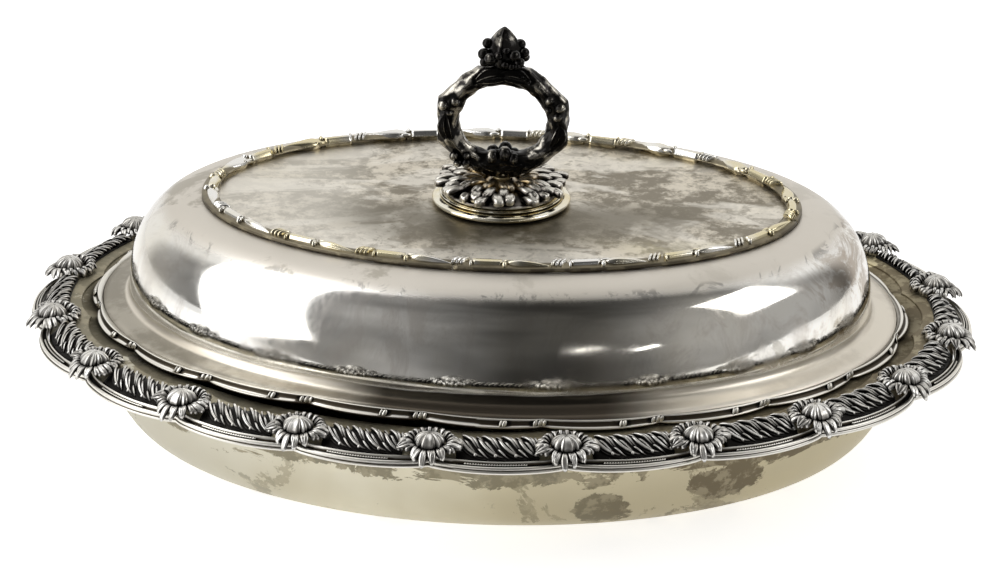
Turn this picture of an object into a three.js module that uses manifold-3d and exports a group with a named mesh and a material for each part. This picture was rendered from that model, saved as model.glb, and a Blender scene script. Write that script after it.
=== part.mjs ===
// An oval covered vegetable dish in silver plate: a stamped bowl with an ornamented lobed rim, a domed lid
// with an ornamental foot ring on its top, and a cast ring handle that unscrews, so that the lid can be
// turned over and used as a second dish. Millimetres, +Z up, the dish stands on z = 0 at its centre.
import * as THREE from "three";
import Module from "manifold-3d";
import { mergeVertices } from "three/addons/utils/BufferGeometryUtils.js";

const wasm = await Module();
wasm.setup();

// Sheet, clearances and the number of repeats
const SHEET = 1.2; // thickness of the stamped bowl and lid
const FIT_GAP = 0.3; // clearance between two pieces that touch
const LOBES = 20; // lobes, flowers and garlands round the rim
const STATIONS_PER_LOBE = 4; // corners of the model round each lobe
const MERGE_DISTANCE = 1e-4; // corners nearer than this are one

// The rim of the dish: the oval through the flower centres, and the flange that carries the ornament
const RIM_HALF_LENGTH = 150;
const RIM_HALF_WIDTH = 114;
const RIM_HEIGHT = 43.2; // crest of the flange above the table
const CREST_INSET = 1.5; // crest inside the oval of flowers
const MOUTH_INSET = 9; // mouth of the dish inside the oval of flowers, at a lobe
const MOUTH_LOBE_DEPTH = 3; // how far the mouth's cusps reach inwards
const MOUTH_DROP = 0.7; // mouth's edge below the crest
const SEAT_DROP = 1; // ledge for the lid below the mouth's edge
const FLANGE_REACH = 4.6; // flange's edge outside the oval of flowers, at a lobe
const FLANGE_LOBE_DEPTH = 3.5; // how far the edge draws in at a flower
const FLANGE_FALL = 3.6; // flange's edge below the crest
const LOBE_ROUNDNESS = 0.7; // 1 is a plain wave, less gives fuller lobes and sharper cusps

// The bowl under the rim
const BOWL_INSET_LENGTHWAYS = 16; // top of the wall inside the oval of flowers
const BOWL_INSET_ACROSS = 14;
const BOWL_CURVE_REACH = 28; // wall's top outside the flat base
const BOWL_CURVE_POWER = 2.6; // 2 is a quarter of an ellipse, more is squarer
const BOWL_WALL_STEPS = 4;

// The plain bead round the edge of the dish
const EDGE_BEAD_WIDTH = 3.4;
const EDGE_BEAD_SIDES = 6;
const EDGE_BEAD_DROP = 0.4; // bead's centre below the top of the flange's edge

// A chrysanthemum mount on the rim
const FLOWER_RADIUS = 9.6; // over the tips of the petals
const FLOWER_NOTCH_RADIUS = 7.9; // between two petals
const FLOWER_CREST_RADIUS = 7.2; // where a petal curls over
const FLOWER_OUTER_REACH = 1.1; // petals lie this much further out than their bud's middle
const FLOWER_BUD_SHIFT = 0.8; // bud leans this much outwards
const FLOWER_BUD_FOOT_RADIUS = 5;
const FLOWER_BUD_RADIUS = 3.7; // shoulder of the domed bud
const FLOWER_BUD_HEIGHT = 4.4;
const FLOWER_BUD_SHOULDER = 3.3;
const FLOWER_BUD_FOOT = 1;
const FLOWER_PETALS = 10;
const FLOWER_PETAL_RISE = 2; // top of a petal's curl
const FLOWER_VALLEY_RISE = 1.1; // between two petals
const FLOWER_TIP_RISE = 0.8; // thickness at the tips
const FLOWER_DROOP = 0.026; // outer petals fall by this times the distance from the crest, squared
const FLOWER_HOLLOW = 0.6; // underside rises this much in the middle

// A garland of leaves between two flowers
const GARLAND_INNER = 5.4; // inner edge inside the oval of flowers
const GARLAND_EDGE_SETBACK = 0.4; // outer edge inside the flange's edge
const GARLAND_LEAVES = 4;
const GARLAND_LEAF_RISE = 1.9;
const GARLAND_VEIN_RISE = 1;
const GARLAND_EDGE_RISE = 0.7;
const GARLAND_SLANT = 0.35; // lean of a leaf, in stations of the rim

// The lid, turned and pushed a little in its seat, with its edge bent up at the front left
const LID_TURN_DEG = -2.4;
const LID_SHIFT = -1; // along the dish, towards its left end
const LID_EDGE_LIFT = 1.9;
const LID_EDGE_LIFT_AT_DEG = 250;
const LID_EDGE_LIFT_SPREAD_DEG = 24;
const LID_PLAY_LENGTHWAYS = 3.9; // lid's edge inside the mouth of the dish, at a lobe
const LID_PLAY_ACROSS = 4.6;
const LID_STATIONS = 60;
const LID_FLANGE_WIDTH = 6.5; // from the lobed moulding to the cove
const LID_FLANGE_RISE = 1.4; // flange rises inwards to the cove
const LID_COVE_WIDTH = 3.2; // from the flange to the foot of the wall
const LID_COVE_BEND_INSET = 2.2;
const LID_COVE_BEND_RISE = 1.1;
const LID_WALL_RISE = 4; // foot of the wall above the flange's inner edge
const LID_WALL_BULGE = 2.7;
const LID_WALL_HANDLE = 16.4; // how far up the bulge is felt
const LID_DOME_RISE = 30.2; // top of the shoulder above the foot of the wall
const LID_SHOULDER_WIDTH = 23.3; // from the foot of the wall to the outer foot of the ornamental ring
const LID_SHOULDER_HANDLE = 16; // how far out the level top is felt
const LID_DOME_STEPS = 6;
const LID_PLATEAU_INSET = 6.5; // edge of the flat top inside the outer foot of the ring
const LID_PLATEAU_DROP = 0.2;

// The lobed reeded moulding on the lid's edge
const LID_BEAD_WIDTH = 3.8;
const LID_BEAD_HEIGHT = 3;
const LID_BEAD_LOBE_DEPTH = 2.5;
const LID_BEAD_CROWN = 0.55; // height of the outer side, as a share of the moulding's height
const LID_BEAD_FOOT_SHARE = 0.85; // width of the underside, as a share of the moulding's width
const LID_BEAD_PROUD = 0.5; // crest of the moulding above the lid's sheet

// The foot ring on the lid's top: strips of ribbon and bead ornament
const BORDER_STRIPS = 4;
const BORDER_UNITS_PER_STRIP = 4;
const BORDER_COLUMNS_PER_UNIT = 5;
const BORDER_TURN_UNITS = -0.38; // first unit of the ornament starts before the +X end
const BORDER_WIDTH = 5.4;
const BORDER_HEIGHT = 3.1;
const BORDER_FOOT_RISE = 1.2; // upright skirt under the ribbon
const BORDER_RIBBON_INSET = 0.9; // ribbon's outer edge inside the skirt
const BORDER_BEAD_RISE = 0.4; // bead clusters stand above the ribbon
const BORDER_OUTER_INSET = 0.4; // border's outer edge inside the outer foot of the ring
const BORDER_END_GAP = 0.4; // between two strips

// The handle, from the lid upwards
const STUD_RADIUS = 3;
const STUD_CLEARANCE = 0.3; // round the stud in every hole
const STUD_REACH_BELOW_SHEET = 6.5;
const STUD_SEGMENTS = 16;
const BUSH_RADIUS = 7;
const BUSH_HEIGHT = 5.5;
const BUSH_SKIRT_RADIUS = 10.5; // soldering flange of the bush
const BUSH_SKIRT_HEIGHT = 1.2;
const BUSH_SEGMENTS = 24;
const COLLAR_RADIUS = 23.2;
const COLLAR_ROLL_HEIGHT = 2.3; // broad half-round roll at the foot
const COLLAR_ROLL_WIDTH = 2.6;
const COLLAR_GROOVE_RADIUS = 19.4;
const COLLAR_GROOVE_DEPTH = 0.5;
const COLLAR_NECK_RADIUS = 20.4; // thin bead under the rosette
const COLLAR_HEIGHT = 3.6;
const COLLAR_SEGMENTS = 36;
const ROSETTE_RADIUS = 23.5;
const ROSETTE_NOTCH = 1.9; // depth between two leaves of the rosette
const ROSETTE_LEAVES = 16;
const ROSETTE_EDGE_HEIGHT = 1.6;
const ROSETTE_CREST_RADIUS = 20.5;
const ROSETTE_CREST_HEIGHT = 2.9;
const ROSETTE_DISH_RADIUS = 14;
const ROSETTE_DISH_HEIGHT = 3.8;
const ROSETTE_HUB_RADIUS = 8;
const ROSETTE_HEIGHT = 5;
const RING_WIDTH = 44.2; // over the flat left and right sides
const RING_HEIGHT = 38.1;
const RING_SIDE_SECTION = 8; // thickness of the twig at the sides
const RING_TOP_SECTION = 7; // and at the top and bottom
const RING_DEPTH = 7.8; // thickness of the twig from front to back
const RING_SIDES = 10;
const RING_STATIONS = 32;
const RING_CORNERS = 8; // the outline is an octagon, the finger hole an oval
const RING_CORNER_SHARPNESS = 0.75; // 1 is a true octagon, 0 an oval
const RING_KNOT_RISE = 2.2; // knot of leaves at the bottom of the finger hole
const RING_KNOT_SWELL = 0.18; // and how much it thickens the twig there
const RING_KNOT_SHARPNESS = 14; // more makes the knot shorter
const FINIAL_HEIGHT = 13.2;
const FINIAL_BUD_RADIUS = 5.2;
const FINIAL_BUD_FOOT_RADIUS = 3.6;
const FINIAL_BUD_BELLY = 0.42; // widest point, as a share of the height
const FINIAL_BUD_SEGMENTS = 12;
const FINIAL_BUD_STEPS = 6;
const FINIAL_BERRIES = 7;
const FINIAL_BERRY_RADIUS = 2.6;
const FINIAL_BERRY_CIRCLE = 6.4;

// Finishes: base colour, roughness and metalness
const FINISH = {
  satin: { color: 0xc9c2ae, roughness: 0.38, metalness: 1 },
  bright: { color: 0xcfccc4, roughness: 0.2, metalness: 1 },
  oxidised: { color: 0x8d877a, roughness: 0.42, metalness: 1 },
  twig: { color: 0x4a4843, roughness: 0.4, metalness: 1 },
  brass: { color: 0xb9a673, roughness: 0.35, metalness: 1 },
};

// Heights and places that follow from the sizes above
const MOUTH_HEIGHT = RIM_HEIGHT - MOUTH_DROP;
const SEAT_HEIGHT = MOUTH_HEIGHT - SEAT_DROP;
const FLANGE_EDGE_HEIGHT = RIM_HEIGHT - FLANGE_FALL;
const BOWL_HALF_LENGTH = RIM_HALF_LENGTH - BOWL_INSET_LENGTHWAYS;
const BOWL_HALF_WIDTH = RIM_HALF_WIDTH - BOWL_INSET_ACROSS;
const LID_EDGE_HALF_LENGTH = RIM_HALF_LENGTH - MOUTH_INSET - LID_PLAY_LENGTHWAYS;
const LID_EDGE_HALF_WIDTH = RIM_HALF_WIDTH - MOUTH_INSET - LID_PLAY_ACROSS;
const LID_STRETCH = LID_EDGE_HALF_LENGTH - LID_EDGE_HALF_WIDTH; // the same for every oval of the lid
const LID_FLANGE_HALF_LENGTH = LID_EDGE_HALF_LENGTH - LID_BEAD_WIDTH - FIT_GAP;
const LID_COVE_HALF_LENGTH = LID_FLANGE_HALF_LENGTH - LID_FLANGE_WIDTH;
const LID_WALL_HALF_LENGTH = LID_COVE_HALF_LENGTH - LID_COVE_WIDTH;
const LID_TOP_HALF_LENGTH = LID_WALL_HALF_LENGTH - LID_SHOULDER_WIDTH;
const LID_BEAD_FOOT = SEAT_HEIGHT + FIT_GAP;
const LID_FLANGE_HEIGHT = LID_BEAD_FOOT + LID_BEAD_HEIGHT - LID_BEAD_PROUD;
const LID_COVE_HEIGHT = LID_FLANGE_HEIGHT + LID_FLANGE_RISE;
const LID_WALL_FOOT = LID_COVE_HEIGHT + LID_WALL_RISE;
const LID_TOP_HEIGHT = LID_WALL_FOOT + LID_DOME_RISE;
const PLATEAU_HEIGHT = LID_TOP_HEIGHT - LID_PLATEAU_DROP;
const HOLE_RADIUS = STUD_RADIUS + STUD_CLEARANCE;
const COLLAR_FOOT = PLATEAU_HEIGHT + FIT_GAP;
const ROSETTE_FOOT = COLLAR_FOOT + COLLAR_HEIGHT + FIT_GAP;
const STUD_TOP = ROSETTE_FOOT + ROSETTE_HEIGHT;
const RING_FOOT = STUD_TOP + FIT_GAP;
const FINIAL_FOOT = RING_FOOT + RING_HEIGHT + FIT_GAP;

const DISH_STATIONS = LOBES * STATIONS_PER_LOBE;

// Gives the angle of an oval at a share of the way round its outline, which starts at the +X end.
function outlineAngle(halfLength, halfWidth) {
  const fine = 4000;
  const lengths = [0];
  for (let i = 1; i <= fine; i += 1) {
    const halfway = ((i - 0.5) / fine) * 2 * Math.PI;
    const step = Math.hypot(halfLength * Math.sin(halfway), halfWidth * Math.cos(halfway));
    lengths.push(lengths[i - 1] + step);
  }
  return (share) => {
    const wanted = (share - Math.floor(share)) * lengths[fine];
    let low = 0;
    let high = fine;
    while (high - low > 1) {
      const half = Math.floor((low + high) / 2);
      if (lengths[half] > wanted) high = half;
      else low = half;
    }
    const part = (wanted - lengths[low]) / (lengths[high] - lengths[low]);
    return ((low + part) / fine + Math.floor(share)) * 2 * Math.PI;
  };
}

// Angles of an oval at which its outline is cut into equal lengths.
function equalStepAngles(halfLength, halfWidth, count) {
  const angleAt = outlineAngle(halfLength, halfWidth);
  return Array.from({ length: count }, (_, i) => angleAt(i / count));
}

const dishAngles = equalStepAngles(RIM_HALF_LENGTH, RIM_HALF_WIDTH, DISH_STATIONS);
const lidAngles = equalStepAngles(LID_TOP_HALF_LENGTH, LID_TOP_HALF_LENGTH - LID_STRETCH, LID_STATIONS);

// A point of an oval, moved outwards square to the outline.
function ovalPoint(angle, halfLength, halfWidth, z, outward = 0) {
  const normal = new THREE.Vector2(Math.cos(angle) / halfLength, Math.sin(angle) / halfWidth).normalize();
  return new THREE.Vector3(
    halfLength * Math.cos(angle) + normal.x * outward,
    halfWidth * Math.sin(angle) + normal.y * outward,
    z,
  );
}

function rimPoint(angle, outward, z) {
  return ovalPoint(angle, RIM_HALF_LENGTH, RIM_HALF_WIDTH, z, outward);
}

// 0 in the middle of a lobe and 1 at a cusp; the first station is the middle of a lobe.
function lobeShare(station, perLobe = STATIONS_PER_LOBE) {
  const fromMiddle = Math.abs((((station / perLobe + 0.5) % 1) + 1) % 1 - 0.5);
  return 1 - Math.cos(Math.PI * fromMiddle) ** LOBE_ROUNDNESS;
}

function mouthOffset(station) {
  return -MOUTH_INSET - MOUTH_LOBE_DEPTH * lobeShare(station);
}

function flangeEdgeOffset(station) {
  return FLANGE_REACH - FLANGE_LOBE_DEPTH * lobeShare(station);
}

// Height of the flange's top at a distance from the oval of flowers.
function flangeTop(station, outward) {
  const fromCrest = outward + CREST_INSET;
  if (fromCrest < 0) {
    return RIM_HEIGHT + (MOUTH_DROP * fromCrest) / (MOUTH_INSET - CREST_INSET);
  }
  return RIM_HEIGHT - (FLANGE_FALL * fromCrest) / (flangeEdgeOffset(station) + CREST_INSET);
}

// Turns a mesh inside out when its faces point inwards, and merges its corners.
function solidGeometry(vertices, triangles) {
  let volume = 0;
  for (const [a, b, c] of triangles) {
    volume += vertices[a].dot(new THREE.Vector3().crossVectors(vertices[b], vertices[c]));
  }
  const index = triangles.flatMap(([a, b, c]) => (volume < 0 ? [a, c, b] : [a, b, c]));
  const geometry = new THREE.BufferGeometry();
  const flat = vertices.flatMap((v) => [v.x, v.y, v.z]);
  geometry.setAttribute("position", new THREE.Float32BufferAttribute(flat, 3));
  geometry.setIndex(index);
  const merged = mergeVertices(geometry, MERGE_DISTANCE);
  merged.computeVertexNormals();
  return merged;
}

function middle(points) {
  const sum = new THREE.Vector3();
  points.forEach((p) => sum.add(p));
  return sum.divideScalar(points.length);
}

// Skins a row of closed loops with equal counts of points. The row is joined end to end, or its two
// ends are closed with fans round the given points.
function skin(loops, { joined = false, startPoint = null, endPoint = null } = {}) {
  const count = loops[0].length;
  const vertices = loops.flat();
  const triangles = [];
  const rows = joined ? loops.length : loops.length - 1;
  for (let row = 0; row < rows; row += 1) {
    const next = (row + 1) % loops.length;
    for (let i = 0; i < count; i += 1) {
      const j = (i + 1) % count;
      triangles.push([row * count + i, next * count + i, next * count + j]);
      triangles.push([row * count + i, next * count + j, row * count + j]);
    }
  }
  if (!joined) {
    const last = (loops.length - 1) * count;
    const start = vertices.push(startPoint ?? middle(loops[0])) - 1;
    const end = vertices.push(endPoint ?? middle(loops[loops.length - 1])) - 1;
    for (let i = 0; i < count; i += 1) {
      const j = (i + 1) % count;
      triangles.push([start, i, j]);
      triangles.push([end, last + j, last + i]);
    }
  }
  return solidGeometry(vertices, triangles);
}

// A turned piece from a closed profile of [radius, height] pairs.
function turned(profile, segments) {
  const points = [...profile, profile[0]].map(([radius, height]) => new THREE.Vector2(radius, height));
  const geometry = new THREE.LatheGeometry(points, segments);
  geometry.deleteAttribute("uv");
  geometry.deleteAttribute("normal");
  geometry.rotateX(Math.PI / 2);
  const merged = mergeVertices(geometry, MERGE_DISTANCE);
  const position = merged.getAttribute("position");
  const vertices = [];
  for (let i = 0; i < position.count; i += 1) {
    vertices.push(new THREE.Vector3().fromBufferAttribute(position, i));
  }
  const triangles = [];
  const index = merged.getIndex();
  for (let i = 0; i < index.count; i += 3) {
    const corners = [index.getX(i), index.getX(i + 1), index.getX(i + 2)];
    if (new Set(corners).size === 3) triangles.push(corners);
  }
  return solidGeometry(vertices, triangles);
}

function toManifold(geometry) {
  const bare = new THREE.BufferGeometry();
  bare.setAttribute("position", geometry.getAttribute("position").clone());
  bare.setIndex(geometry.getIndex());
  const merged = mergeVertices(bare, MERGE_DISTANCE);
  return new wasm.Manifold(
    new wasm.Mesh({
      numProp: 3,
      vertProperties: Float32Array.from(merged.getAttribute("position").array),
      triVerts: Uint32Array.from(merged.getIndex().array),
    }),
  );
}

function fromManifold(solid) {
  const mesh = solid.getMesh();
  const geometry = new THREE.BufferGeometry();
  geometry.setAttribute("position", new THREE.BufferAttribute(mesh.vertProperties, 3));
  geometry.setIndex(new THREE.BufferAttribute(mesh.triVerts, 1));
  geometry.computeVertexNormals();
  return geometry;
}

function part(name, geometry, finish) {
  const mesh = new THREE.Mesh(geometry, new THREE.MeshStandardMaterial(FINISH[finish]));
  mesh.name = name;
  return mesh;
}

// Reach and height of the bowl's wall, from the edge of the base (0) to the ledge (1), moved inwards
// square to the wall.
function bowlWallPoint(share, inward) {
  const height = SEAT_HEIGHT - SHEET;
  const at = (angle) => new THREE.Vector2(
    BOWL_CURVE_REACH * Math.sin(angle) ** (2 / BOWL_CURVE_POWER),
    height * (1 - Math.cos(angle) ** (2 / BOWL_CURVE_POWER)),
  );
  const quarter = Math.PI / 2;
  const angle = share * quarter;
  const step = 0.01;
  const near = at(Math.max(angle - step, 0));
  const far = at(Math.min(angle + step, quarter));
  const along = share === 0 ? new THREE.Vector2(1, 0) : far.sub(near).normalize();
  return at(angle).add(new THREE.Vector2(-along.y, along.x).multiplyScalar(inward));
}

function bowlLoop(reach, height) {
  const inset = BOWL_CURVE_REACH - reach;
  return dishAngles.map((angle) => (
    ovalPoint(angle, BOWL_HALF_LENGTH - inset, BOWL_HALF_WIDTH - inset, height)
  ));
}

function rimLoop(offsetAt, height) {
  return dishAngles.map((angle, station) => rimPoint(angle, offsetAt(station), height));
}

// The stamped dish: flat base, curved wall, ledge for the lid, lobed mouth and lobed flange.
function dishBody() {
  const shares = Array.from({ length: BOWL_WALL_STEPS + 1 }, (_, i) => i / BOWL_WALL_STEPS);
  const outside = shares.map((share) => bowlWallPoint(share, 0));
  const inside = shares.map((share) => bowlWallPoint(share, SHEET));
  inside[BOWL_WALL_STEPS].y = SEAT_HEIGHT;
  const crest = () => -CREST_INSET;
  const loops = [
    ...outside.map(({ x, y }) => bowlLoop(x, y)),
    rimLoop((station) => mouthOffset(station) + SHEET, SEAT_HEIGHT - SHEET),
    rimLoop(crest, RIM_HEIGHT - SHEET),
    rimLoop(flangeEdgeOffset, FLANGE_EDGE_HEIGHT - SHEET),
    rimLoop(flangeEdgeOffset, FLANGE_EDGE_HEIGHT),
    rimLoop(crest, RIM_HEIGHT),
    rimLoop(mouthOffset, MOUTH_HEIGHT),
    rimLoop(mouthOffset, SEAT_HEIGHT),
    ...inside.reverse().map(({ x, y }) => bowlLoop(x, y)),
  ];
  return skin(loops, { endPoint: new THREE.Vector3(0, 0, SHEET) });
}

// The plain bead that finishes the edge of the flange.
function dishEdgeBead() {
  const radius = EDGE_BEAD_WIDTH / 2;
  const height = FLANGE_EDGE_HEIGHT - EDGE_BEAD_DROP;
  const loops = dishAngles.map((angle, station) => {
    const centre = flangeEdgeOffset(station) + FIT_GAP + radius;
    return Array.from({ length: EDGE_BEAD_SIDES }, (_, side) => {
      const turn = ((side + 0.5) / EDGE_BEAD_SIDES) * 2 * Math.PI;
      return rimPoint(angle, centre + radius * Math.cos(turn), height + radius * Math.sin(turn));
    });
  });
  return skin(loops, { joined: true });
}

// Underside of a flower: it follows the flange inwards and droops outwards past the edge.
function flowerSeat(outward) {
  const fromCrest = outward + CREST_INSET;
  const fall = fromCrest < 0
    ? (-MOUTH_DROP * fromCrest) / (MOUTH_INSET - CREST_INSET)
    : FLOWER_DROOP * fromCrest ** 2;
  return RIM_HEIGHT + FIT_GAP - fall;
}

// A chrysanthemum mount: a domed bud in a ring of curled petals.
function flower(angle) {
  const outwardAxis = rimPoint(angle, 1, 0).sub(rimPoint(angle, 0, 0));
  const alongAxis = new THREE.Vector3(-outwardAxis.y, outwardAxis.x, 0);
  const centre = rimPoint(angle, 0, 0);
  const place = (radius, turn, rise, shift = 0) => {
    const outward = radius * Math.cos(turn) + shift;
    return centre
      .clone()
      .addScaledVector(outwardAxis, outward)
      .addScaledVector(alongAxis, radius * Math.sin(turn))
      .setZ(flowerSeat(outward) + rise);
  };
  const ring = (tipRadius, notchRadius, tipRise, notchRise, shift = 0) => (
    Array.from({ length: 2 * FLOWER_PETALS }, (_, i) => {
      const turn = (i / (2 * FLOWER_PETALS)) * 2 * Math.PI;
      return i % 2 === 0
        ? place(tipRadius, turn, tipRise, shift)
        : place(notchRadius, turn, notchRise, shift);
    })
  );
  const round = (radius, rise) => ring(radius, radius, rise, rise, FLOWER_BUD_SHIFT);
  const crestShift = FLOWER_OUTER_REACH / 2;
  const loops = [
    round(FLOWER_BUD_RADIUS, FLOWER_BUD_SHOULDER),
    round(FLOWER_BUD_FOOT_RADIUS, FLOWER_BUD_FOOT),
    ring(FLOWER_CREST_RADIUS, FLOWER_CREST_RADIUS, FLOWER_PETAL_RISE, FLOWER_VALLEY_RISE, crestShift),
    ring(FLOWER_RADIUS, FLOWER_NOTCH_RADIUS, FLOWER_TIP_RISE, FLOWER_TIP_RISE, FLOWER_OUTER_REACH),
    ring(FLOWER_RADIUS, FLOWER_NOTCH_RADIUS, 0, 0, FLOWER_OUTER_REACH),
  ];
  return skin(loops, {
    startPoint: place(0, 0, FLOWER_BUD_HEIGHT, FLOWER_BUD_SHIFT),
    endPoint: place(0, 0, FLOWER_HOLLOW),
  });
}

// A garland of overlapping leaves on the flange, over the middle half of a lobe.
function garland(lobe) {
  const spans = STATIONS_PER_LOBE / 2;
  const first = lobe * STATIONS_PER_LOBE - spans / 2;
  const columns = 2 * GARLAND_LEAVES;
  // Straight between two stations, as the flange is.
  const onFlange = (along, outwardAt, rise) => {
    const low = Math.min(Math.floor(along), spans - 1);
    const ends = [low, low + 1].map((step) => {
      const station = (first + step + DISH_STATIONS) % DISH_STATIONS;
      const outward = outwardAt(station);
      return rimPoint(dishAngles[station], outward, flangeTop(station, outward) + FIT_GAP + rise);
    });
    return ends[0].lerp(ends[1], along - low);
  };
  const inner = () => -GARLAND_INNER;
  const crest = () => -CREST_INSET;
  const outer = (station) => flangeEdgeOffset(station) - GARLAND_EDGE_SETBACK;
  const loops = Array.from({ length: columns + 1 }, (_, column) => {
    const along = (column / columns) * spans;
    const lean = GARLAND_SLANT * Math.sin((column / columns) * Math.PI);
    const rise = column % 2 === 1 ? GARLAND_LEAF_RISE : GARLAND_VEIN_RISE;
    return [
      onFlange(along, inner, 0),
      onFlange(along, crest, 0),
      onFlange(along, outer, 0),
      onFlange(along + lean, outer, GARLAND_EDGE_RISE),
      onFlange(along, crest, rise),
      onFlange(along - lean, inner, GARLAND_EDGE_RISE),
    ];
  });
  const heart = (loop) => middle([loop[1], loop[4]]);
  return skin(loops, { startPoint: heart(loops[0]), endPoint: heart(loops[columns]) });
}

// How far the edge of the lid is bent up at an angle of its oval.
function edgeLift(angle) {
  const away = (THREE.MathUtils.radToDeg(angle) - LID_EDGE_LIFT_AT_DEG) / LID_EDGE_LIFT_SPREAD_DEG;
  return LID_EDGE_LIFT * Math.exp(-(away ** 2));
}

function lidLoop(halfLength, height, liftShare = 0) {
  return lidAngles.map((angle) => (
    ovalPoint(angle, halfLength, halfLength - LID_STRETCH, height + liftShare * edgeLift(angle))
  ));
}

// Half-lengths and heights of the lid's outside, from the edge of the flange to the flat top.
function lidProfile() {
  const dome = new THREE.CubicBezierCurve(
    new THREE.Vector2(LID_WALL_HALF_LENGTH, LID_WALL_FOOT),
    new THREE.Vector2(LID_WALL_HALF_LENGTH + LID_WALL_BULGE, LID_WALL_FOOT + LID_WALL_HANDLE),
    new THREE.Vector2(LID_TOP_HALF_LENGTH + LID_SHOULDER_HANDLE, LID_TOP_HEIGHT),
    new THREE.Vector2(LID_TOP_HALF_LENGTH, LID_TOP_HEIGHT),
  );
  return [
    new THREE.Vector2(LID_FLANGE_HALF_LENGTH, LID_FLANGE_HEIGHT),
    new THREE.Vector2(LID_COVE_HALF_LENGTH, LID_COVE_HEIGHT),
    new THREE.Vector2(LID_COVE_HALF_LENGTH - LID_COVE_BEND_INSET, LID_COVE_HEIGHT + LID_COVE_BEND_RISE),
    ...dome.getPoints(LID_DOME_STEPS),
    new THREE.Vector2(LID_TOP_HALF_LENGTH - LID_PLATEAU_INSET, PLATEAU_HEIGHT),
  ];
}

// The same outline moved towards the inside of the lid, square to itself.
function movedInside(profile, distance) {
  return profile.map((point, i) => {
    const before = profile[Math.max(i - 1, 0)];
    const after = profile[Math.min(i + 1, profile.length - 1)];
    const along = after.clone().sub(before).normalize();
    return point.clone().add(new THREE.Vector2(-along.y, along.x).multiplyScalar(distance));
  });
}

// The stamped lid: flange, cove, bulging wall, shoulder and sunk flat top with a hole for the stud.
function lidShell() {
  const outside = lidProfile();
  const inside = movedInside(outside, SHEET);
  const plateau = outside.length - 1;
  inside[0].x = outside[0].x;
  inside[0].y = outside[0].y - SHEET;
  inside[plateau].y = PLATEAU_HEIGHT - SHEET;
  const hole = (height) => lidAngles.map((angle) => ovalPoint(angle, HOLE_RADIUS, HOLE_RADIUS, height));
  // The bend takes in the edge of the flange alone, which is the first point of the outline.
  const rings = (profile) => profile.map(({ x, y }, i) => lidLoop(x, y, i === 0 ? 1 : 0));
  const loops = [
    ...rings(outside),
    hole(PLATEAU_HEIGHT),
    hole(PLATEAU_HEIGHT - SHEET),
    ...rings(inside).reverse(),
  ];
  return skin(loops, { joined: true });
}

// The lobed moulding round the lid's edge, which rests on the ledge of the dish.
function lidEdgeMoulding() {
  const halfLength = LID_FLANGE_HALF_LENGTH + FIT_GAP;
  const halfWidth = halfLength - LID_STRETCH;
  const loops = dishAngles.map((angle, station) => {
    const outer = LID_BEAD_WIDTH - LID_BEAD_LOBE_DEPTH * lobeShare(station);
    const foot = LID_BEAD_FOOT + edgeLift(angle);
    const at = (outward, rise) => ovalPoint(angle, halfLength, halfWidth, foot + rise, outward);
    return [
      at(0, 0),
      at(outer * LID_BEAD_FOOT_SHARE, 0),
      at(outer, LID_BEAD_HEIGHT * LID_BEAD_CROWN),
      at(outer / 2, LID_BEAD_HEIGHT),
      at(0, LID_BEAD_HEIGHT - LID_BEAD_PROUD),
    ];
  });
  return skin(loops, { joined: true });
}

// One strip of the ornamental ring on the lid's top, a quarter of the way round.
function borderStrip(strip) {
  const outerHalfLength = LID_TOP_HALF_LENGTH - BORDER_OUTER_INSET;
  const ridge = outerHalfLength - BORDER_WIDTH / 2;
  const columns = BORDER_UNITS_PER_STRIP * BORDER_COLUMNS_PER_UNIT;
  const total = BORDER_STRIPS * columns;
  const angleAt = outlineAngle(ridge, ridge - LID_STRETCH);
  const slope = LID_PLATEAU_DROP / LID_PLATEAU_INSET;
  const onLid = (angle, halfLength, rise) => {
    const height = LID_TOP_HEIGHT - slope * (LID_TOP_HALF_LENGTH - halfLength) + FIT_GAP + rise;
    return ovalPoint(angle, halfLength, halfLength - LID_STRETCH, height);
  };
  const endTrim = BORDER_END_GAP / 2 / ridge;
  const loops = Array.from({ length: columns + 1 }, (_, column) => {
    const index = strip * columns + column + BORDER_TURN_UNITS * BORDER_COLUMNS_PER_UNIT;
    const trim = column === 0 ? endTrim : column === columns ? -endTrim : 0;
    const angle = angleAt(index / total) + trim;
    const inUnit = (column % BORDER_COLUMNS_PER_UNIT) / BORDER_COLUMNS_PER_UNIT;
    const ribbon = Math.sin(Math.PI * inUnit);
    const bead = inUnit === 0 ? BORDER_BEAD_RISE : 0;
    const rise = BORDER_HEIGHT - BORDER_BEAD_RISE * ribbon + bead;
    return [
      onLid(angle, outerHalfLength, 0),
      onLid(angle, outerHalfLength - BORDER_RIBBON_INSET, BORDER_FOOT_RISE),
      onLid(angle, ridge, rise),
      onLid(angle, outerHalfLength - BORDER_WIDTH, BORDER_FOOT_RISE),
      onLid(angle, outerHalfLength - BORDER_WIDTH, 0),
    ];
  });
  return skin(loops);
}

// The threaded bush soldered under the lid's top.
function lidBush() {
  const top = PLATEAU_HEIGHT - SHEET - FIT_GAP;
  return turned([
    [HOLE_RADIUS, top],
    [HOLE_RADIUS, top - BUSH_HEIGHT],
    [BUSH_RADIUS, top - BUSH_HEIGHT],
    [BUSH_RADIUS, top - BUSH_SKIRT_HEIGHT],
    [BUSH_SKIRT_RADIUS, top - BUSH_SKIRT_HEIGHT],
    [BUSH_SKIRT_RADIUS, top],
  ], BUSH_SEGMENTS);
}

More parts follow.
